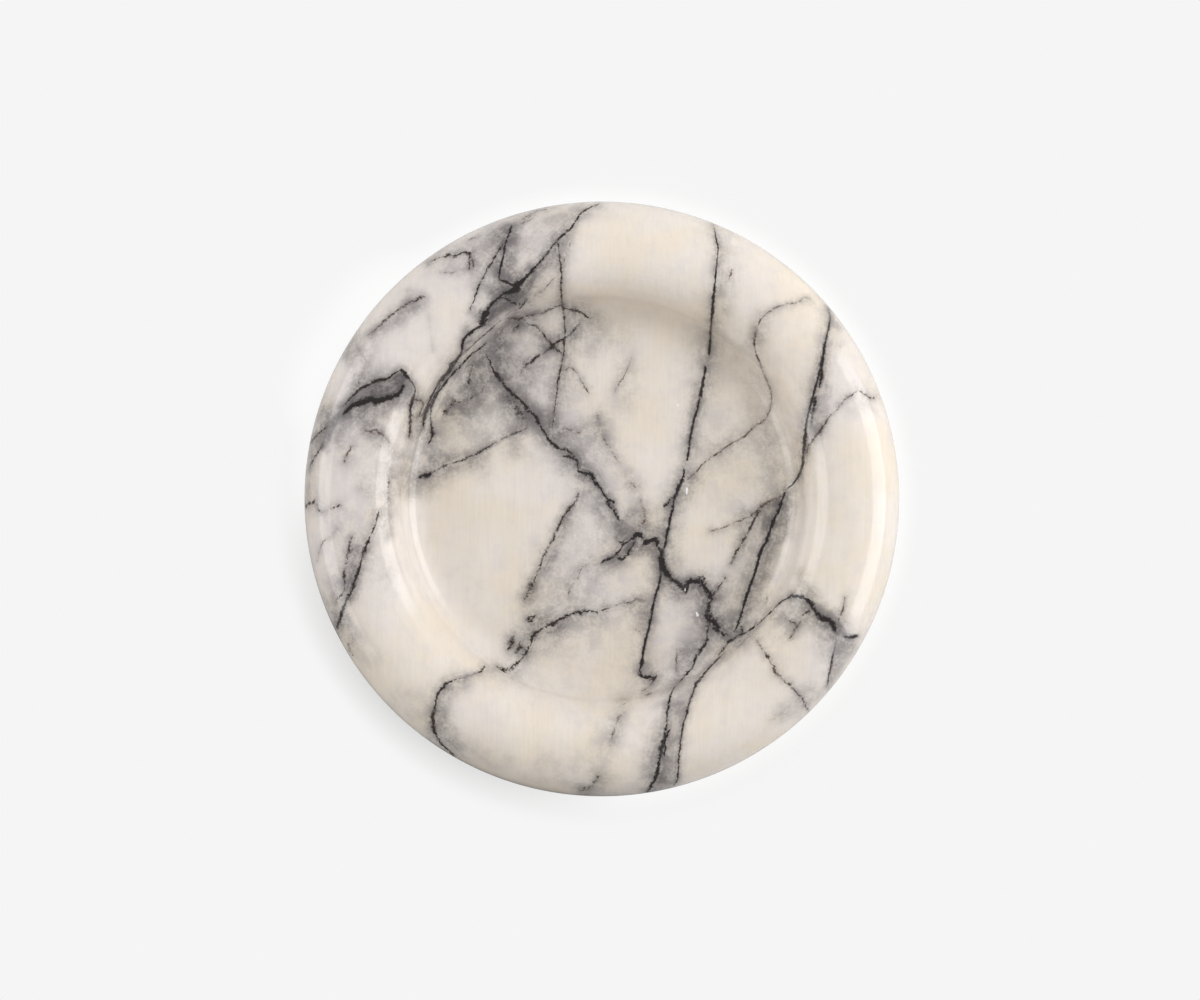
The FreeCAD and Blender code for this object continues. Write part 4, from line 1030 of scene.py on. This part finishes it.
def felt_material(tint):
    """Pressed wool felt: a mottled grey with a faint sheen."""
    material, graph = new_material("grey_felt")
    place = graph.scaled(graph.node("ShaderNodeTexCoord", output="Object"), 1 / MM)
    mottle = graph.noise(place, 0.35, 3.0, 0.7)
    dark = tuple(0.55 * part for part in tint[:3]) + (1.0,)
    surface = graph.node("ShaderNodeBsdfPrincipled", None, {
        "Base Color": graph.blend(graph.ramp(mottle, 0.3, 0.7), dark, tuple(tint)),
        "Roughness": 0.95,
        "Sheen Weight": 0.3,
    })
    graph.node("ShaderNodeOutputMaterial", None, {"Surface": surface})
    return material


def film_material(tint):
    """Milky adhesive film, slightly glossy."""
    material, graph = new_material("adhesive")
    place = graph.scaled(graph.node("ShaderNodeTexCoord", output="Object"), 1 / MM)
    cloudy = graph.noise(place, 1.5, 3.0)
    surface = graph.node("ShaderNodeBsdfPrincipled", None, {
        "Base Color": tuple(tint),
        "Roughness": graph.ramp(cloudy, 0.3, 0.7, 0.3, 0.45),
    })
    graph.node("ShaderNodeOutputMaterial", None, {"Surface": surface})
    return material


def new_tree(name, sockets):
    """An empty Geometry Nodes tree with named inputs and one output. Returns its graph and its inputs."""
    tree = bpy.data.node_groups.new(name, "GeometryNodeTree")
    for label, kind in sockets.items():
        tree.interface.new_socket(label, in_out="INPUT", socket_type=f"NodeSocket{kind}")
    tree.interface.new_socket("Geometry", in_out="OUTPUT", socket_type="NodeSocketGeometry")
    graph = Graph(tree)
    first = graph.node("NodeGroupInput")
    return graph, {label: first.sibling(label) for label in sockets}


def line(graph, start, end, count):
    """A straight strip of a section between two places, each given as X outwards and Y up."""
    straight = graph.node("GeometryNodeCurvePrimitiveLine", None, {
        "Start": graph.joined(*start, 0.0), "End": graph.joined(*end, 0.0)})
    return graph.node("GeometryNodeResampleCurve", None, {"Curve": straight, "Count": count})


def arc(graph, centre, radius, start, sweep, count):
    """A round strip of a section about a centre."""
    bend = graph.node("GeometryNodeCurveArc", {"mode": "RADIUS"}, {
        "Resolution": count, "Radius": radius, "Start Angle": start, "Sweep Angle": sweep})
    return graph.node("GeometryNodeTransform", None, {
        "Geometry": bend, "Translation": graph.joined(*centre, 0.0)})


def turned(graph, strips, segments, place):
    """Turns the strips of a half section, with X outwards and Y up, about an upright axis at a place."""
    ring = graph.node("GeometryNodeCurvePrimitiveCircle", None, {"Resolution": segments, "Radius": 1.0})
    upright = graph.node("GeometryNodeSetCurveNormal", {"mode": "Z_UP"}, {"Curve": ring})
    section = graph.node("GeometryNodeJoinGeometry", None, {"Geometry": strips})
    # A profile's Y runs down along a ring with upright normals, and the ring's own radius is taken off.
    hung = graph.node("GeometryNodeTransform", None, {
        "Geometry": section, "Translation": (-1.0, 0.0, 0.0), "Scale": (1.0, -1.0, 1.0)})
    wall = graph.node("GeometryNodeCurveToMesh", None, {"Curve": upright, "Profile Curve": hung})
    outward = graph.node("GeometryNodeFlipFaces", None, {"Mesh": wall})
    closed = graph.node("GeometryNodeMergeByDistance", None, {
        "Geometry": outward, "Distance": MERGE_DISTANCE})
    return graph.node("GeometryNodeTransform", None, {"Geometry": closed, "Translation": place})


def finished(graph, shape, material):
    """Ends a tree: real geometry, shaded smooth, with its material."""
    real = graph.node("GeometryNodeRealizeInstances", None, {"Geometry": shape})
    smooth = graph.node("GeometryNodeSetShadeSmooth", None, {"Geometry": real})
    painted = graph.node("GeometryNodeSetMaterial", None, {"Geometry": smooth, "Material": material})
    graph.node("NodeGroupOutput", None, {"Geometry": painted})
    return graph.tree


def dish_tree():
    """The turned stone: flat base, round rim, concave fillet and flat floor."""
    graph, given = new_tree("turned_dish", {
        "Outer Diameter": "Float", "Rim Thickness": "Float", "Well Depth": "Float", "Well Fillet": "Float",
        "Lift": "Float", "Segments": "Int", "Material": "Material"})
    rim = given["Rim Thickness"] / 2
    fillet = given["Well Fillet"]
    crown = given["Outer Diameter"] / 2 - rim
    floor = given["Rim Thickness"] - given["Well Depth"]
    # The fillet circle touches the rim circle from outside, so their centres are both radii apart.
    rise = floor + fillet - rim
    span = rim + fillet
    reach = (span * span - rise * rise).maths("SQRT")
    lean = rise.maths("ARCTAN2", reach)
    floor_edge = crown - reach
    quarter = math.pi / 2
    strips = [
        line(graph, (0.0, 0.0), (crown, 0.0), BASE_POINTS),
        arc(graph, (crown, rim), rim, -quarter, quarter, LOWER_RIM_POINTS),
        arc(graph, (crown, rim), rim, 0.0, 2 * quarter - lean, UPPER_RIM_POINTS),
        arc(graph, (floor_edge, floor + fillet), fillet, -1.0 * lean, lean - quarter, FILLET_POINTS),
        line(graph, (floor_edge, floor), (0.0, floor), FLOOR_POINTS),
    ]
    shape = turned(graph, strips, given["Segments"], graph.joined(0.0, 0.0, given["Lift"]))
    return finished(graph, shape, given["Material"])


def film_tree():
    """A thin disc of adhesive with a round edge."""
    graph, given = new_tree("adhesive_film", {
        "Diameter": "Float", "Thickness": "Float", "Place": "Vector", "Material": "Material"})
    edge = given["Thickness"] / 2
    inner = given["Diameter"] / 2 - edge
    strips = [
        line(graph, (0.0, 0.0), (inner, 0.0), FILM_FLAT_POINTS),
        arc(graph, (inner, edge), edge, -math.pi / 2, math.pi, FILM_EDGE_POINTS),
        line(graph, (inner, given["Thickness"]), (0.0, given["Thickness"]), FILM_FLAT_POINTS),
    ]
    return finished(graph, turned(graph, strips, PAD_SEGMENTS, given["Place"]), given["Material"])


def felt_tree():
    """A felt disc with a rounded lower edge and a fuzz of fibres on its side."""
    graph, given = new_tree("felt_pad", {
        "Diameter": "Float", "Thickness": "Float", "Edge Radius": "Float", "Place": "Vector",
        "Fibre Length": "Float", "Fibre Count": "Float", "Seed": "Int", "Material": "Material"})
    outer = given["Diameter"] / 2
    edge = given["Edge Radius"]
    top = given["Thickness"]
    strips = [
        line(graph, (0.0, 0.0), (outer - edge, 0.0), FELT_FLAT_POINTS),
        arc(graph, (outer - edge, edge), edge, -math.pi / 2, math.pi / 2, FELT_EDGE_POINTS),
        line(graph, (outer, edge), (outer, top), FELT_SIDE_ROWS + 1),
        line(graph, (outer, top), (0.0, top), FELT_FLAT_POINTS),
    ]
    disc = turned(graph, strips, PAD_SEGMENTS, given["Place"])
    normal = graph.node("GeometryNodeInputNormal")
    sideways = graph.vector("MULTIPLY", normal, (1.0, 1.0, 0.0))
    side = graph.node("ShaderNodeVectorMath", {"operation": "LENGTH"}, {"Vector": sideways}, output="Value")
    # A face bears fibres if any of its corners is clear, so the limits lie at least a row of faces inside:
    # the top row stays bare, and no fibre pokes into the table or the stone.
    _, _, height = graph.split(graph.node("GeometryNodeInputPosition"))
    length = given["Fibre Length"]
    row = (top - edge) / FELT_SIDE_ROWS
    clear = height.maths("GREATER_THAN", length + row) * height.maths("LESS_THAN", top - row * 1.5)
    points = graph.node("GeometryNodeDistributePointsOnFaces", None, {
        "Mesh": disc, "Selection": side.maths("GREATER_THAN", 0.9) * clear, "Density": given["Fibre Count"],
        "Seed": given["Seed"]})
    tangle = graph.node("FunctionNodeRandomValue", {"data_type": "FLOAT_VECTOR"}, {
        "Min": (-FIBRE_TURN,) * 3, "Max": (FIBRE_TURN,) * 3, "Seed": given["Seed"]})
    turn = graph.node("FunctionNodeRotateRotation", None, {
        "Rotation": points.sibling("Rotation"),
        "Rotate By": graph.node("FunctionNodeEulerToRotation", None, {"Euler": tangle})})
    fibre = graph.node("GeometryNodeMeshCone", {"fill_type": "NONE"}, {
        "Vertices": 3, "Side Segments": 2, "Radius Bottom": FIBRE_ROOT_RADIUS,
        "Radius Top": FIBRE_TIP_RADIUS, "Depth": length}, output="Mesh")
    fuzz = graph.node("GeometryNodeInstanceOnPoints", None, {
        "Points": points, "Instance": fibre, "Rotation": turn})
    together = graph.node("GeometryNodeJoinGeometry", None, {"Geometry": [disc, fuzz]})
    return finished(graph, together, given["Material"])


def grown(name, tree, values):
    """A mesh object grown by a tree, with its inputs set by identifier and the modifier gone again."""
    piece = bpy.data.objects.new(name, bpy.data.meshes.new(name))
    bpy.context.scene.collection.objects.link(piece)
    modifier = piece.modifiers.new(tree.name, "NODES")
    modifier.node_group = tree
    sockets = {item.name: item.identifier for item in tree.interface.items_tree if item.in_out == "INPUT"}
    for label, value in values.items():
        modifier[sockets[label]] = value
    seen = piece.evaluated_get(bpy.context.evaluated_depsgraph_get())
    mesh = bpy.data.meshes.new_from_object(seen)
    piece.modifiers.clear()
    piece.data = mesh
    mesh.name = name
    return piece


def smooth_line(points, step):
    """Points a step apart on a smooth line through the given ones; their other numbers follow along."""
    given = np.array(points, float)
    longer = np.vstack([2 * given[0] - given[1], given, 2 * given[-1] - given[-2]])
    runs = []
    for a, b, c, d in zip(longer, longer[1:], longer[2:], longer[3:]):
        count = max(2, math.ceil(np.linalg.norm((c - b)[:2]) / step))
        t = (np.arange(count) / count)[:, None]
        runs.append(0.5 * (2 * b + (c - a) * t + (2 * a - 5 * b + 4 * c - d) * t ** 2
                           + (3 * b - a - 3 * c + d) * t ** 3))
    return np.vstack([*runs, given[-1:]])


def close_by(places, stroke, reach):
    """Which places lie within reach of a stroke's box."""
    low = stroke[:, :2].min(axis=0) - reach
    high = stroke[:, :2].max(axis=0) + reach
    return np.flatnonzero(((places > low) & (places < high)).all(axis=1))


def nearest_on(stroke, places):
    """The index of the stroke's nearest point to each place, and the way from it to the place."""
    ways = places[:, None, :] - stroke[None, :, :2]
    nearest = np.argmin((ways ** 2).sum(axis=2), axis=1)
    return nearest, ways[np.arange(len(places)), nearest]


def cloud_cover(clouds, places):
    """How strongly the clouds cover each place; where they overlap they add up towards 1."""
    clear = np.ones(len(places))
    for cloud in clouds:
        stroke = smooth_line(cloud.points, cloud.reach / 4)
        near = close_by(places, stroke, CLOUD_LIMIT * cloud.reach)
        _, ways = nearest_on(stroke, places[near])
        gaps = np.hypot(*ways.T)
        clear[near] *= 1 - cloud.strength * np.exp(-(gaps / cloud.reach) ** 2)
    return 1 - clear


def vein_haze(veins, places):
    """How strongly the veins' own haze covers each place, with its reach on either side."""
    clear = np.ones(len(places))
    for vein in veins:
        stroke = smooth_line(vein.points, HAZE_STEP)
        near = close_by(places, stroke, HAZE_LIMIT * max(vein.left, vein.right))
        nearest, ways = nearest_on(stroke, places[near])
        along = np.gradient(stroke[:, :2], axis=0)[nearest]
        rightward = along[:, 0] * ways[:, 1] - along[:, 1] * ways[:, 0]
        gaps = np.hypot(*ways.T)
        side = np.clip(rightward / (np.hypot(*along.T) * np.maximum(gaps, 1e-6)), -1, 1) / 2 + 0.5
        reach = vein.left + (vein.right - vein.left) * side
        clear[near] *= 1 - vein.haze * vein.ink * np.exp(-gaps / reach)
    return 1 - clear


def within(corners, places):
    """Which places lie inside a ring of corners, by counting the sides to the right of each."""
    inside = np.zeros(len(places), bool)
    x, y = places.T
    for (ax, ay), (bx, by) in zip(corners, corners[1:] + corners[:1]):
        if ay != by:
            crossing = ax + (y - ay) * (bx - ax) / (by - ay)
            inside ^= ((ay > y) != (by > y)) & (x < crossing)
    return inside


def lay_patches(places):
    """Each place's distance outside the nearest patch in mm, negative inside, and that patch's strength."""
    outside = np.full(len(places), np.inf)
    strength = np.zeros(len(places))
    for patch in PATCHES.values():
        ring = smooth_line([*patch.corners, patch.corners[0]], PATCH_STEP)
        _, ways = nearest_on(ring, places)
        gaps = np.hypot(*ways.T) * np.where(within(patch.corners, places), -1, 1)
        nearer = gaps < outside
        outside[nearer] = gaps[nearer]
        strength[nearer] = patch.strength
    return np.minimum(outside * MM_PER_PIXEL, PATCH_FAR), strength


def store(mesh, name, values):
    """Stores vectors or plain numbers on the vertices."""
    if values.ndim == 1:
        attribute = mesh.attributes.new(name, "FLOAT", "POINT")
        attribute.data.foreach_set("value", values.astype(np.float32))
    else:
        attribute = mesh.attributes.new(name, "FLOAT_VECTOR", "POINT")
        attribute.data.foreach_set("vector", values.astype(np.float32).ravel())


def lay_veins(mesh, layer, veins, places, share):
    """Stores each vertex's offset to its nearest vein, its distance and the half width there, all in mm.

    The vein's nature is stored with them. The share says how much of its ink a vein has at each vertex.
    """
    lines = [smooth_line(vein.points, VEIN_STEP) for vein in veins.values()]
    natures = np.vstack([np.tile((vein.ink, vein.brown, vein.jag), (len(stroke), 1))
                         for vein, stroke in zip(veins.values(), lines)])
    samples = np.vstack(lines)
    tree = KDTree(len(samples))
    for index, (x, y, _) in enumerate(samples):
        tree.insert((x, y, 0.0), index)
    tree.balance()
    nearest = np.array([tree.find((x, y, 0.0))[1] for x, y in places])
    offsets = samples[nearest].copy()
    offsets[:, :2] -= places
    offsets[:, 2] /= 2
    nature = natures[nearest]
    nature[:, 0] *= share
    store(mesh, f"{layer}_offset", offsets * MM_PER_PIXEL)
    store(mesh, f"{layer}_nature", nature)
    store(mesh, f"{layer}_apart", np.hypot(*offsets[:, :2].T) * MM_PER_PIXEL)


def pixel_places(mesh, height, level, lean):
    """Where the vertices lie in the photograph, in pixels, and how deep those on faces that look down lie.

    Depth counts from the widest level, and below it the veins lean.
    """
    points = np.empty(len(mesh.vertices) * 3, np.float32)
    normals = np.empty_like(points)
    mesh.vertices.foreach_get("co", points)
    mesh.vertices.foreach_get("normal", normals)
    x, y, z = points.reshape(-1, 3).T.astype(float)
    sunk = np.where(normals[2::3] < 0, np.maximum(level - z, 0.0), 0.0)
    spread = (height - level) / (height - z - sunk) / METRES_PER_PIXEL
    across = DISH_CENTRE_X + (x + sunk * lean[0]) * spread
    down = DISH_CENTRE_Y - (y + sunk * lean[1]) * spread
    return np.column_stack([across, down]), sunk


class DishSizes(bpy.types.PropertyGroup):
    """Sizes of the stone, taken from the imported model."""

    outer_diameter: bpy.props.FloatProperty(
        name="Outer Diameter", description="Across the widest part of the rim",
        default=STONE_HIGH.x - STONE_LOW.x, unit="LENGTH")
    rim_thickness: bpy.props.FloatProperty(
        name="Rim Thickness", description="Diameter of the round rim section",
        default=STONE_HIGH.z - STONE_LOW.z, unit="LENGTH")
    well_depth: bpy.props.FloatProperty(
        name="Well Depth", description="From the crown of the rim down to the floor of the well",
        default=STONE_HIGH.z - WELL_FLOOR["pos_m"][2], unit="LENGTH")
    well_fillet: bpy.props.FloatProperty(
        name="Well Fillet", description="Radius where the wall of the well runs into its floor",
        default=6.0 * MM, unit="LENGTH")
    lift: bpy.props.FloatProperty(
        name="Lift", description="Height of the underside of the stone above the table",
        default=STONE_LOW.z, unit="LENGTH")
    segments: bpy.props.IntProperty(
        name="Segments", description="Faces around the dish", default=560, min=3)
    vein_lean: bpy.props.FloatVectorProperty(
        name="Vein Lean", description="How far the veins lean below the widest level, per unit of depth",
        size=2, default=(1.7, -1.0))


class PadSizes(bpy.types.PropertyGroup):
    """Sizes of the felt pads and their adhesive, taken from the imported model."""

    felt_diameter: bpy.props.FloatProperty(
        name="Felt Diameter", description="Across one felt pad", default=FELT_HIGH.x - FELT_LOW.x,
        unit="LENGTH")
    felt_thickness: bpy.props.FloatProperty(
        name="Felt Thickness", description="Height of one felt pad", default=FELT_HIGH.z - FELT_LOW.z,
        unit="LENGTH")
    edge_radius: bpy.props.FloatProperty(
        name="Edge Radius", description="Rounding of the felt where it meets the table", default=0.4 * MM,
        unit="LENGTH")
    fibre_length: bpy.props.FloatProperty(
        name="Fibre Length", description="Length of the loose fibres on the side of the felt",
        default=0.35 * MM, unit="LENGTH")
    fibre_count: bpy.props.FloatProperty(
        name="Fibres", description="Loose fibres on a square metre of the side", default=2.4e7)
    film_diameter: bpy.props.FloatProperty(
        name="Film Diameter", description="Across one adhesive film", default=FILM_HIGH.x - FILM_LOW.x,
        unit="LENGTH")
    film_thickness: bpy.props.FloatProperty(
        name="Film Thickness", description="Height of one adhesive film", default=FILM_HIGH.z - FILM_LOW.z,
        unit="LENGTH")


class DishColours(bpy.types.PropertyGroup):
    """Colours of the marble, the felt and the adhesive."""

    cream: bpy.props.FloatVectorProperty(
        name="Cream", description="The clear stone", subtype="COLOR", size=4, default=colour("e8e0d8"))
    deep_cream: bpy.props.FloatVectorProperty(
        name="Deep Cream", description="Warmer patches of the clear stone", subtype="COLOR", size=4,
        default=colour("e7dccd"))
    milk: bpy.props.FloatVectorProperty(
        name="Milk", description="Cool white haze", subtype="COLOR", size=4, default=colour("dfd7d4"))
    # Also the tint of the painted warm shade on the upper right wall of the well.
    amber_and_warm_shade: bpy.props.FloatVectorProperty(
        name="Amber", description="Warm stain", subtype="COLOR", size=4, default=colour("dfd3c3"))
    fleck: bpy.props.FloatVectorProperty(
        name="Fleck", description="Flecks of white calcite", subtype="COLOR", size=4,
        default=colour("f2eeea"))
    # Also the colour of the painted shade strokes.
    smoke_and_shade: bpy.props.FloatVectorProperty(
        name="Smoke", description="Grey clouds beside the veins", subtype="COLOR", size=4,
        default=colour("575253"))
    vein: bpy.props.FloatVectorProperty(
        name="Vein", description="The dark veins", subtype="COLOR", size=4, default=colour("1d1616"))
    rust: bpy.props.FloatVectorProperty(
        name="Rust", description="The brown hairlines", subtype="COLOR", size=4, default=colour("6b5548"))
    felt: bpy.props.FloatVectorProperty(
        name="Felt", description="The felt pads", subtype="COLOR", size=4, default=colour("8d8b88"))
    film: bpy.props.FloatVectorProperty(
        name="Adhesive", description="The adhesive films", subtype="COLOR", size=4, default=colour("e9e6df"))


class StageSettings(bpy.types.PropertyGroup):
    """Camera, floor and lamps."""

    lens: bpy.props.FloatProperty(
        name="Lens", description="Focal length of the camera, in millimetres", default=100.0)
    sensor: bpy.props.FloatProperty(
        name="Sensor", description="Width of the camera's sensor, in millimetres", default=36.0)
    floor_colour: bpy.props.FloatVectorProperty(
        name="Floor", description="The pale floor", subtype="COLOR", size=4, default=colour("f5f5f5"))
    # The floor close to the dish gets a painted glow, standing in for light bounced off the stone.
    painted_glow_colour: bpy.props.FloatVectorProperty(
        name="Glow", description="The floor close to the dish", subtype="COLOR", size=4,
        default=colour("fefefe"))
    # The bounce colour is duller than the floor: painted shade on the light the floor throws onto the dish.
    bounce_colour: bpy.props.FloatVectorProperty(
        name="Bounce", description="The floor as it lights the dish from below", subtype="COLOR", size=4,
        default=colour("d9d8d6"))


def eye_height(stage, sizes):
    """Height of the camera at which the dish has its size in the photograph, and its widest level."""
    level = sizes.lift + sizes.rim_thickness / 2
    distance = PHOTO_WIDTH * METRES_PER_PIXEL * stage.lens / stage.sensor
    return level + distance, level


def foot(node):
    """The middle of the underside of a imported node's box."""
    low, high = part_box(node)
    return (low.x + high.x) / 2, (low.y + high.y) / 2, low.z


class RINGDISH_OT_stone(bpy.types.Operator):
    """Turns the stone and paints its marble"""

    bl_idname = "ringdish.stone"
    bl_label = "Marble Dish"

    def execute(self, context):
        scene = context.scene
        sizes = scene.ringdish_sizes
        stone = grown("stone_dish", dish_tree(), {
            "Outer Diameter": sizes.outer_diameter, "Rim Thickness": sizes.rim_thickness,
            "Well Depth": sizes.well_depth, "Well Fillet": sizes.well_fillet, "Lift": sizes.lift,
            "Segments": sizes.segments, "Material": marble_material(scene.ringdish_colours)})
        mesh = stone.data
        places, sunk = pixel_places(mesh, *eye_height(scene.ringdish_stage, sizes), sizes.vein_lean)
        # Only the main veins run right through the stone.
        shallow = np.clip(1 - sunk / SHALLOW_DEPTH, 0.0, 1.0)
        lay_veins(mesh, "main", MAIN_VEINS, places, 1.0)
        lay_veins(mesh, "second", SECOND_VEINS, places, shallow)
        lay_veins(mesh, "hairline", HAIRLINES, places, shallow)
        lay_veins(mesh, "fleck", FLECKS, places, shallow)
        veins = [*MAIN_VEINS.values(), *SECOND_VEINS.values(), *HAIRLINES.values()]
        # Smoke, painted shade and the veins' haze, thinned again by the clear gaps.
        smoke_and_shade = 1 - (1 - cloud_cover(SMOKE_AND_SHADE, places)) * (1 - vein_haze(veins, places))
        smoke_and_shade *= 1 - cloud_cover(CLEAR, places)
        outside, strength = lay_patches(places)
        store(mesh, "clouds", np.column_stack([smoke_and_shade, cloud_cover(MILK, places), outside]))
        store(mesh, "patch_strength", strength)
        store(mesh, "warm_stain_and_shade", cloud_cover(AMBER_AND_WARM_SHADE, places))
        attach(stone, BODY)
        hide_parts(STONE)
        return {"FINISHED"}


class RINGDISH_OT_felts(bpy.types.Operator):
    """Makes the felt pads under the dish"""

    bl_idname = "ringdish.felts"
    bl_label = "Felt Pads"

    def execute(self, context):
        sizes = context.scene.ringdish_pads
        material = felt_material(context.scene.ringdish_colours.felt)
        tree = felt_tree()
        for number, node in enumerate(FELTS):
            pad = grown(f"pad_{node}", tree, {
                "Diameter": sizes.felt_diameter, "Thickness": sizes.felt_thickness,
                "Edge Radius": sizes.edge_radius, "Place": foot(node),
                "Fibre Length": sizes.fibre_length, "Fibre Count": sizes.fibre_count, "Seed": number,
                "Material": material})
            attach(pad, BODY)
            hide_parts(node)
        return {"FINISHED"}


class RINGDISH_OT_films(bpy.types.Operator):
    """Makes the adhesive films between the felt and the stone"""

    bl_idname = "ringdish.films"
    bl_label = "Adhesive Films"

    def execute(self, context):
        sizes = context.scene.ringdish_pads
        material = film_material(context.scene.ringdish_colours.film)
        tree = film_tree()
        for node in FILMS:
            film = grown(f"thin_{node}", tree, {
                "Diameter": sizes.film_diameter, "Thickness": sizes.film_thickness, "Place": foot(node),
                "Material": material})
            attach(film, BODY)
            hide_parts(node)
        return {"FINISHED"}


def floor_material(settings, radius):
    """A pale floor that keeps a light shadow, with a painted glow of bounced light close to the dish."""
    material, graph = new_material("pale_floor")
    x, y, _ = graph.split(graph.node("ShaderNodeTexCoord", output="Object"))
    away = (x * x + y * y).maths("SQRT")
    # The painted glow reaches furthest on the upper left.
    glow_reach = graph.ramp((y * 0.53 - x * 0.85) / away, 0.92, 1.0, GLOW_REACH, LONG_GLOW_REACH)
    near = graph.ramp(away, radius, radius + glow_reach, 1.0, 0.0)
    tint = graph.blend(near, tuple(settings.floor_colour), tuple(settings.painted_glow_colour))
    camera = graph.node("ShaderNodeLightPath", output="Is Camera Ray")
    # The dish itself sees a duller floor with painted shade: dim at the lower left, where its shadow falls,
    # and darkest in front.
    painted_side_shade = graph.ramp((x + y) * 0.707 / radius, -1.0, -0.6, 0.55, 1.0)
    painted_front_shade = graph.ramp((x * 0.2 + y * 0.98) / away, -1.0, -0.86, 0.25, 1.0)
    bounce = graph.scaled(tuple(settings.bounce_colour)[:3], painted_side_shade * painted_front_shade)
    lit = graph.node("ShaderNodeBsdfDiffuse", None, {"Color": graph.blend(camera, bounce, tint)})
    plain = graph.node("ShaderNodeEmission", None, {"Color": tint})
    # The shadow shows mostly on the lower left.
    near_share = graph.ramp((x + y) * 0.707 / away, -1.0, -0.6, 0.35, 0.85)
    share = graph.ramp(away, radius, radius + SHADOW_REACH, near_share, 1.0)
    surface = graph.node("ShaderNodeMixShader", None, {0: camera * share, 1: lit, 2: plain})
    graph.node("ShaderNodeOutputMaterial", None, {"Surface": surface})
    return material


def aimed(name, data, location):
    """A lamp at a place, looking at the origin, with its own X axis level."""
    thing = bpy.data.objects.new(name, data)
    thing.location = location
    to_origin = Vector((0.0, 0.0, 0.0)) - Vector(location)
    thing.rotation_euler = to_origin.to_track_quat("-Z", "Y").to_euler()
    bpy.context.scene.collection.objects.link(thing)
    return thing


def round_lamp(name, width, power, place):
    """A round lamp that lights the dish without a reflection on its polish."""
    lamp = bpy.data.lights.new(name, "AREA")
    lamp.shape = "DISK"
    lamp.size = width
    lamp.energy = power
    aimed(name, lamp, place).visible_glossy = False


def soft_strip(name, x, length, breadth, power):
    """A long lamp beside the dish that fades towards its ends."""
    lamp = bpy.data.lights.new(name, "AREA")
    lamp.shape = "RECTANGLE"
    lamp.size = length
    lamp.size_y = breadth
    lamp.energy = power
    lamp.use_nodes = True
    lamp.node_tree.nodes.clear()
    graph = Graph(lamp.node_tree)
    along, _, _ = graph.split(graph.node("ShaderNodeNewGeometry", output="Parametric"))
    fading = graph.ramp((along - 0.5).maths("ABSOLUTE"), 0.5, 0.2)
    glow = graph.node("ShaderNodeEmission", None, {"Strength": fading})
    graph.node("ShaderNodeOutputLight", None, {"Surface": glow})
    aimed(name, lamp, (x, 0.0, STRIP_HEIGHT))


class RINGDISH_OT_stage(bpy.types.Operator):
    """Sets the floor, the lamps and the camera"""

    bl_idname = "ringdish.stage"
    bl_label = "Stage"

    def execute(self, context):
        scene = context.scene
        settings = scene.ringdish_stage
        sizes = scene.ringdish_sizes
        scene.view_settings.view_transform = "Standard"

        corners = [(x * FLOOR_REACH, y * FLOOR_REACH, 0.0) for x, y in ((-1, -1), (1, -1), (1, 1), (-1, 1))]
        floor_mesh = bpy.data.meshes.new("floor")
        floor_mesh.from_pydata(corners, [], [(0, 1, 2, 3)])
        floor_mesh.materials.append(floor_material(settings, sizes.outer_diameter / 2))
        floor = bpy.data.objects.new("floor", floor_mesh)
        scene.collection.objects.link(floor)

        world = bpy.data.worlds.new("studio")
        world.use_nodes = True
        background = world.node_tree.nodes["Background"]
        background.inputs["Color"].default_value = (1.0, 1.0, 1.0, 1.0)
        background.inputs["Strength"].default_value = WORLD_STRENGTH
        scene.world = world

        for lamp in ROUND_LAMPS:
            round_lamp(*lamp)
        for lamp in STRIP_LAMPS:
            soft_strip(*lamp)

        lens = bpy.data.cameras.new("camera")
        lens.lens = settings.lens
        lens.sensor_width = settings.sensor
        camera = bpy.data.objects.new("camera", lens)
        height, _ = eye_height(settings, sizes)
        camera.location = ((PHOTO_WIDTH / 2 - DISH_CENTRE_X) * METRES_PER_PIXEL,
                           (DISH_CENTRE_Y - PHOTO_HEIGHT / 2) * METRES_PER_PIXEL, height)
        scene.collection.objects.link(camera)
        scene.camera = camera
        return {"FINISHED"}


OPERATORS = (RINGDISH_OT_stone, RINGDISH_OT_felts, RINGDISH_OT_films, RINGDISH_OT_stage)


class RINGDISH_PT_panel(bpy.types.Panel):
    """Lists the pieces of the ring dish"""

    bl_label = "Ring Dish"
    bl_space_type = "VIEW_3D"
    bl_region_type = "UI"
    bl_category = "Ring Dish"

    def draw(self, context):
        for operator in OPERATORS:
            self.layout.operator(operator.bl_idname)


GROUPS = {
    "ringdish_sizes": DishSizes,
    "ringdish_pads": PadSizes,
    "ringdish_colours": DishColours,
    "ringdish_stage": StageSettings,
}
CLASSES = (*GROUPS.values(), *OPERATORS, RINGDISH_PT_panel)


def register():
    for each in CLASSES:
        bpy.utils.register_class(each)
    for name, group in GROUPS.items():
        setattr(bpy.types.Scene, name, bpy.props.PointerProperty(type=group))


def unregister():
    for name in GROUPS:
        delattr(bpy.types.Scene, name)
    for each in reversed(CLASSES):
        bpy.utils.unregister_class(each)


def main():
    register()
    bpy.ops.ringdish.stone()
    bpy.ops.ringdish.felts()
    bpy.ops.ringdish.films()
    bpy.ops.ringdish.stage()


if __name__ == "__main__":
    main()
